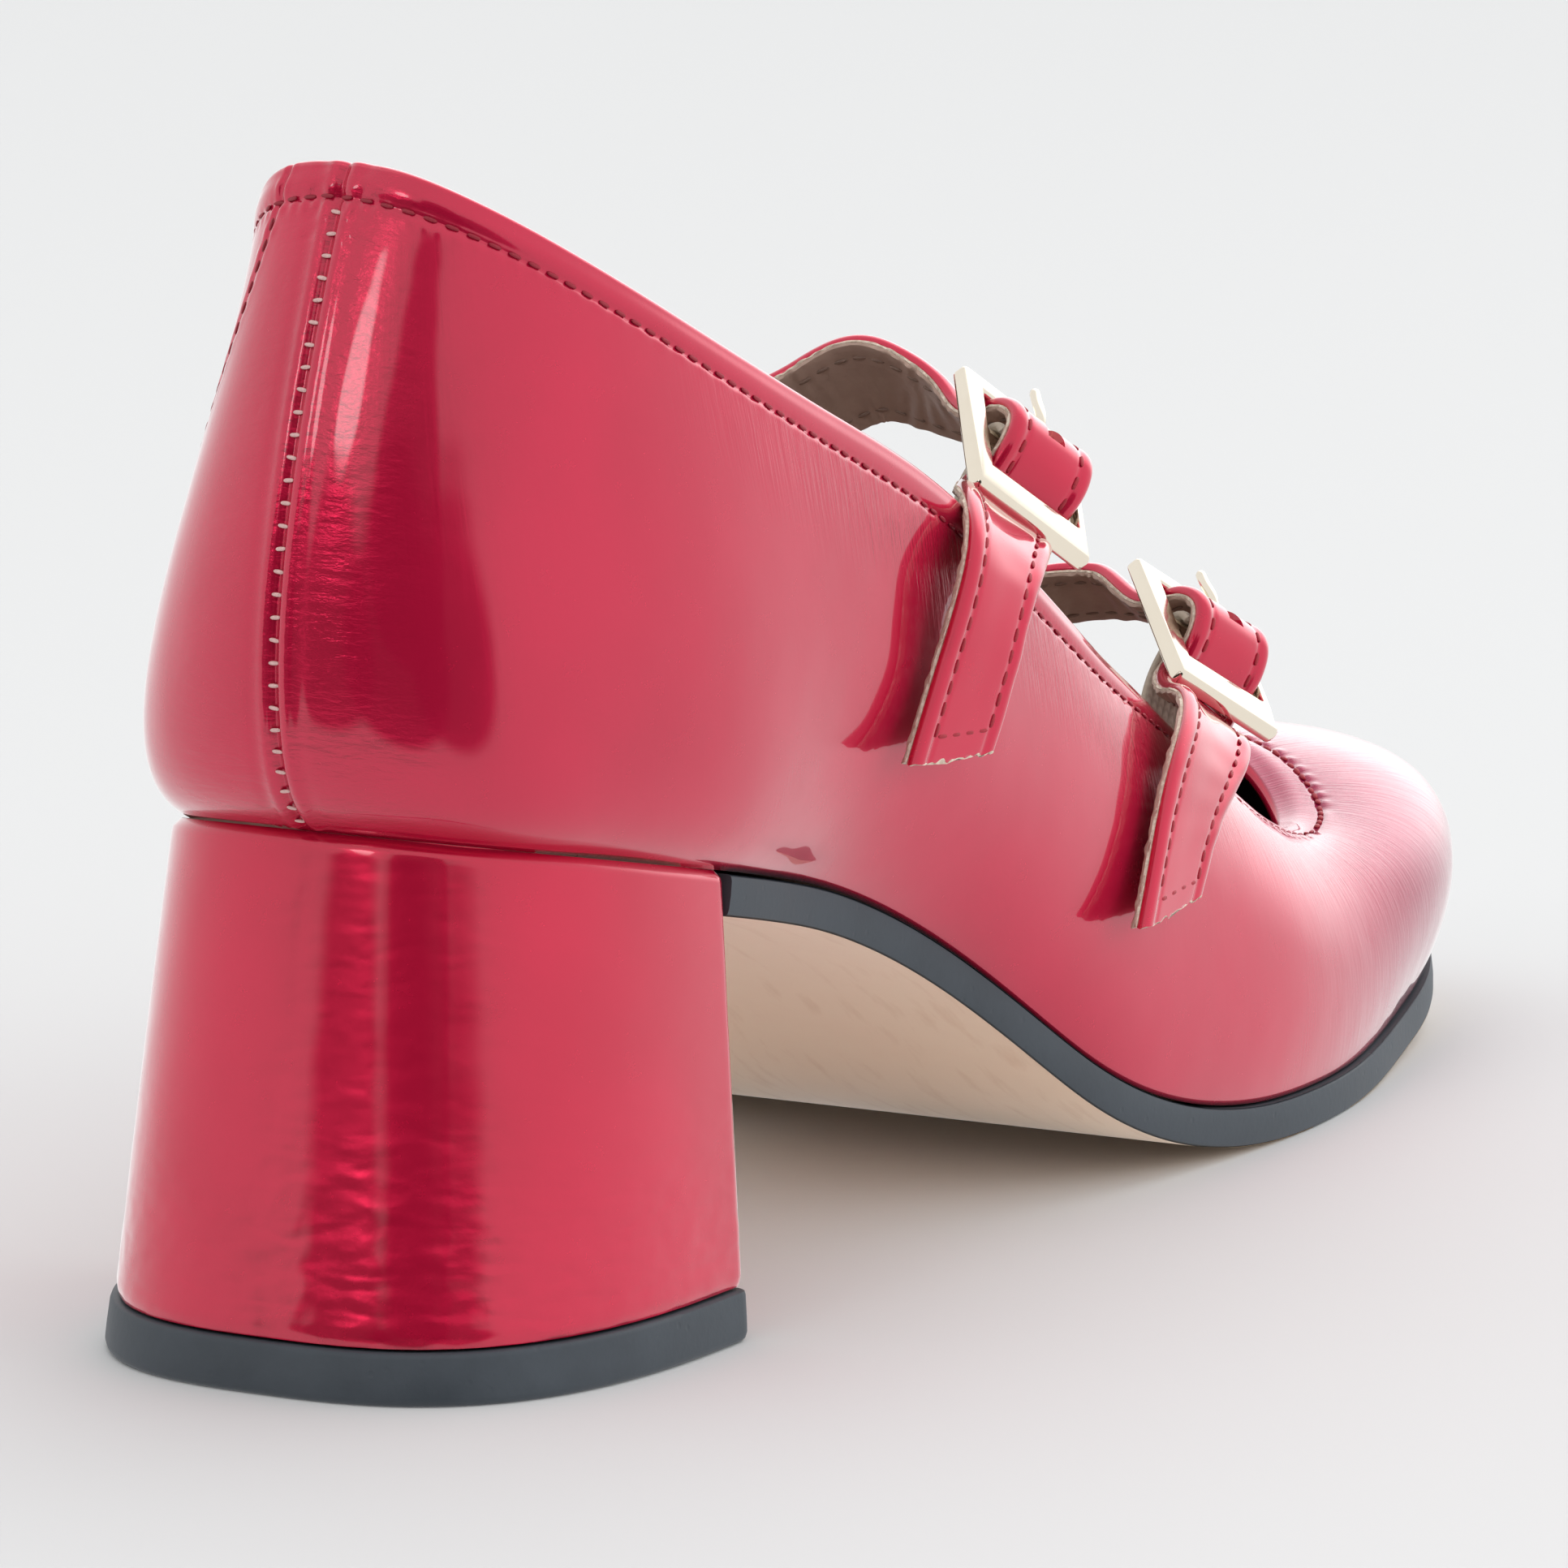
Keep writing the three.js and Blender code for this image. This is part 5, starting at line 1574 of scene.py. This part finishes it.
@dataclass
class Elastic:
    """The knitted loop that holds a buckle to the upper."""

    bench: Workbench
    finishes: Finishes
    plan: StrapPlan
    axes: BuckleAxes
    width: float = 10.5
    thick: float = 0.9

    def build(self) -> None:
        """Write the knitted band round the centre bar and cut the gap for the prong."""
        form, axes = self.bench.form, self.axes
        points, widths = [], []
        for x, z, lift in self.plan.elastic:
            point, normal = form.side_point(x, z, LATERAL_START)
            points.append(point - normal * (form.wall + form.gap + self.thick / 2 + lift))
            widths.append(unit(np.cross(normal, [-0.5, 0, -0.87])))
        points.append(axes.at(1.8, 0, -3.8))
        widths.append(axes.across)
        for i in range(7):
            turn = math.radians(-80 - 32 * i)
            points.append(axes.at(1.55 * math.cos(turn), 0, 1.55 * math.sin(turn) - 0.7))
            widths.append(axes.across)
        band = Band(np.array(points), np.array(widths), self.width)
        half = self.width / 2
        places = np.linspace(-half, half, 64)
        side = np.concatenate([places, places[::-1]])
        level = np.concatenate([np.full(64, self.thick / 2), np.full(64, -self.thick / 2)])
        steps = 190
        t = np.linspace(0, 1, steps + 1)[:, None]
        place, _, _, face = band.at(t, side[None, :])
        s = t * band.total
        rib = np.abs(np.sin(side[None, :] * math.pi / 1.05))
        loop = 0.5 + 0.5 * np.sin(s * math.tau / 0.95 + np.cos(side[None, :] * math.tau / 1.05) * 1.4)
        knit = rib ** 0.6 * (0.45 + 0.55 * loop)
        place = place + face * (level[None, :] + np.sign(level)[None, :] * (knit * 0.2 - 0.16))[..., None]
        ring = len(side)
        faces = grid_faces(steps + 1, ring, True).tolist()
        faces += [list(range(ring))[::-1], list(range(steps * ring, (steps + 1) * ring))]
        # the knit relief is also stored as a mark, which the finish turns into painted shade in the hollows
        piece = self.bench.mesh(f"elastic_{self.plan.name}_knit", place, faces, [self.finishes.knit],
                                marks={"knit": knit})
        self.bench.facing_out(piece)
        self.bench.cut(piece, self.bench.block(axes, (9, 1.7, 12), (-2.4, 0, 2)))
        self.bench.fix(piece, "elastic_knit", [f"elastic_{self.plan.name}"])


# ---------------------------------------------------------------- studio
@dataclass
class Studio:
    """Pale floor, soft lights and the camera."""

    bench: Workbench
    world_grey: float = 1.0
    lobes: tuple[tuple[float, float, tuple[float, float], float], ...] = (
        (172, -3, (18, 23), 0.1), (203, -4, (20, 26), 0.06), (230, -4, (17, 24), 0.1),
        (209, 12, (15, 19), 0.1), (174, 23, (5, 7), 6.0), (5, 34, (8, 44), 2.5))
    eye: tuple[float, float, float] = (-0.92289, -0.48785, 0.2193)
    yaw: float = 28.1
    pitch: float = 9.8
    roll: float = 0.3
    lens: float = 239.96

    def floor(self) -> None:
        """Lay the floor."""
        bpy.ops.object.select_all(action="DESELECT")
        bpy.ops.mesh.primitive_plane_add(size=16, location=(0, 0, 0))
        floor = bpy.context.active_object
        floor.name = "studio_floor"
        floor.data.materials.append(StudioPaper().make())
        floor.visible_glossy = False

    def lamp(self, name: str, azimuth: float, height: float, distance: float, size: tuple[float, float],
             radiance: float) -> None:
        """Hang one soft box that faces the shoe.

        Args:
            name: Light name.
            azimuth: Direction from the shoe in degrees, 0 along +X and 90 along +Y.
            height: Height of its middle in metres.
            distance: Plan distance in metres.
            size: Width and height in metres.
            radiance: Brightness of its face.
        """
        data = bpy.data.lights.new(name, "AREA")
        data.shape = "RECTANGLE"
        data.size, data.size_y = size
        data.energy = radiance * math.pi * size[0] * size[1]
        lamp = bpy.data.objects.new(name, data)
        bpy.context.collection.objects.link(lamp)
        lamp.visible_glossy = False
        a = math.radians(azimuth)
        lamp.location = (distance * math.cos(a), distance * math.sin(a), height)
        aim = Vector((0, 0, 0.05)) - lamp.location
        lamp.rotation_euler = aim.to_track_quat("-Z", "Y").to_euler()

    def light(self) -> None:
        """Set the room and hang the soft boxes."""
        world = bpy.data.worlds.new("room")
        world.use_nodes = True
        tree = world.node_tree
        tree.nodes["Background"].inputs["Color"].default_value = (1, 1, 1, 1)
        ahead = tree.nodes.new("ShaderNodeTexCoord").outputs["Generated"]
        level = None
        for azimuth, height, width, strength in self.lobes:
            a, e = math.radians(azimuth), math.radians(height)
            dot = tree.nodes.new("ShaderNodeVectorMath")
            dot.operation = "DOT_PRODUCT"
            dot.inputs[1].default_value = (math.cos(a) * math.cos(e), math.sin(a) * math.cos(e), math.sin(e))
            tree.links.new(ahead, dot.inputs[0])
            fade = tree.nodes.new("ShaderNodeMapRange")
            fade.interpolation_type = "SMOOTHSTEP"
            fade.inputs["From Min"].default_value = math.cos(math.radians(width[1]))
            fade.inputs["From Max"].default_value = math.cos(math.radians(width[0]))
            fade.inputs["To Min"].default_value = 1
            fade.inputs["To Max"].default_value = strength
            tree.links.new(dot.outputs["Value"], fade.inputs["Value"])
            total = tree.nodes.new("ShaderNodeMath")
            total.operation = "MULTIPLY"
            total.inputs[1].default_value = self.world_grey
            tree.links.new(fade.outputs[0], total.inputs[0])
            if level is not None:
                tree.links.new(level, total.inputs[1])
            level = total.outputs[0]
        tree.links.new(level, tree.nodes["Background"].inputs["Strength"])
        bpy.context.scene.world = world
        self.lamp("top_box", 40, 1.5, 0.15, (1.9, 1.7), 0.15)
        self.lamp("right_box", -72, 0.4, 1.2, (1.2, 0.8), 1.9)

    def camera(self) -> None:
        """Place the camera."""
        data = bpy.data.cameras.new("camera")
        data.lens, data.sensor_width, data.clip_end = self.lens, 36, 100
        camera = bpy.data.objects.new("camera", data)
        bpy.context.collection.objects.link(camera)
        a, p, r = (math.radians(v) for v in (self.yaw, self.pitch, self.roll))
        look = np.array([math.cos(a) * math.cos(p), math.sin(a) * math.cos(p), -math.sin(p)])
        right = np.array([math.sin(a), -math.cos(a), 0.0])
        up = np.cross(right, look)
        right, up = right * math.cos(r) + up * math.sin(r), up * math.cos(r) - right * math.sin(r)
        rows = [[right[k], up[k], -look[k], self.eye[k]] for k in range(3)]
        camera.matrix_world = Matrix(rows + [[0, 0, 0, 1]])
        bpy.context.scene.camera = camera

    def build(self) -> None:
        """Build the studio."""
        self.floor()
        self.light()
        self.camera()
        bpy.context.scene.view_settings.view_transform = "Standard"


def main() -> None:
    """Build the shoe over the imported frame."""
    logging.basicConfig(level=logging.INFO, format="%(name)s: %(message)s")
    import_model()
    form = ShoeForm()
    bench = Workbench(form)
    finishes = Finishes()
    stitch = StitchRow(bench)
    Upper(bench, finishes, stitch).build()
    edge = [(-0.5, 0.0), (-0.12, 0.05), (0.0, 0.16), (0.06, 0.5), (0.0, 0.84), (-0.12, 0.95), (-0.5, 1.0)]
    sole = Board(bench, 0.9, -4.0, 4.0, form.breast_x + form.gap)
    outsole = sole.build("outsole_board", edge, [finishes.rubber, finishes.rubber, finishes.tan])
    bench.fix(outsole, "sole_rubber", ["outsole"])
    soft = [(-0.6, 0.0), (-0.1, 0.2), (0.0, 0.5), (-0.1, 0.8), (-0.6, 1.0)]
    sock = Board(bench, -2.3, form.gap, 2.2, None, stations=120)
    bench.fix(sock.build("insole_sock", soft, [finishes.sock] * 3), "insole_leather", ["insole"])
    HeelStack(bench, finishes).build()
    for plan in (REAR, FRONT):
        axes = BuckleAxes(plan)
        Strap(bench, finishes, stitch, plan, axes).build()
        Buckle(bench, finishes, plan, axes).build()
        Elastic(bench, finishes, plan, axes).build()
    Studio(bench).build()


if __name__ == "__main__":
    main()
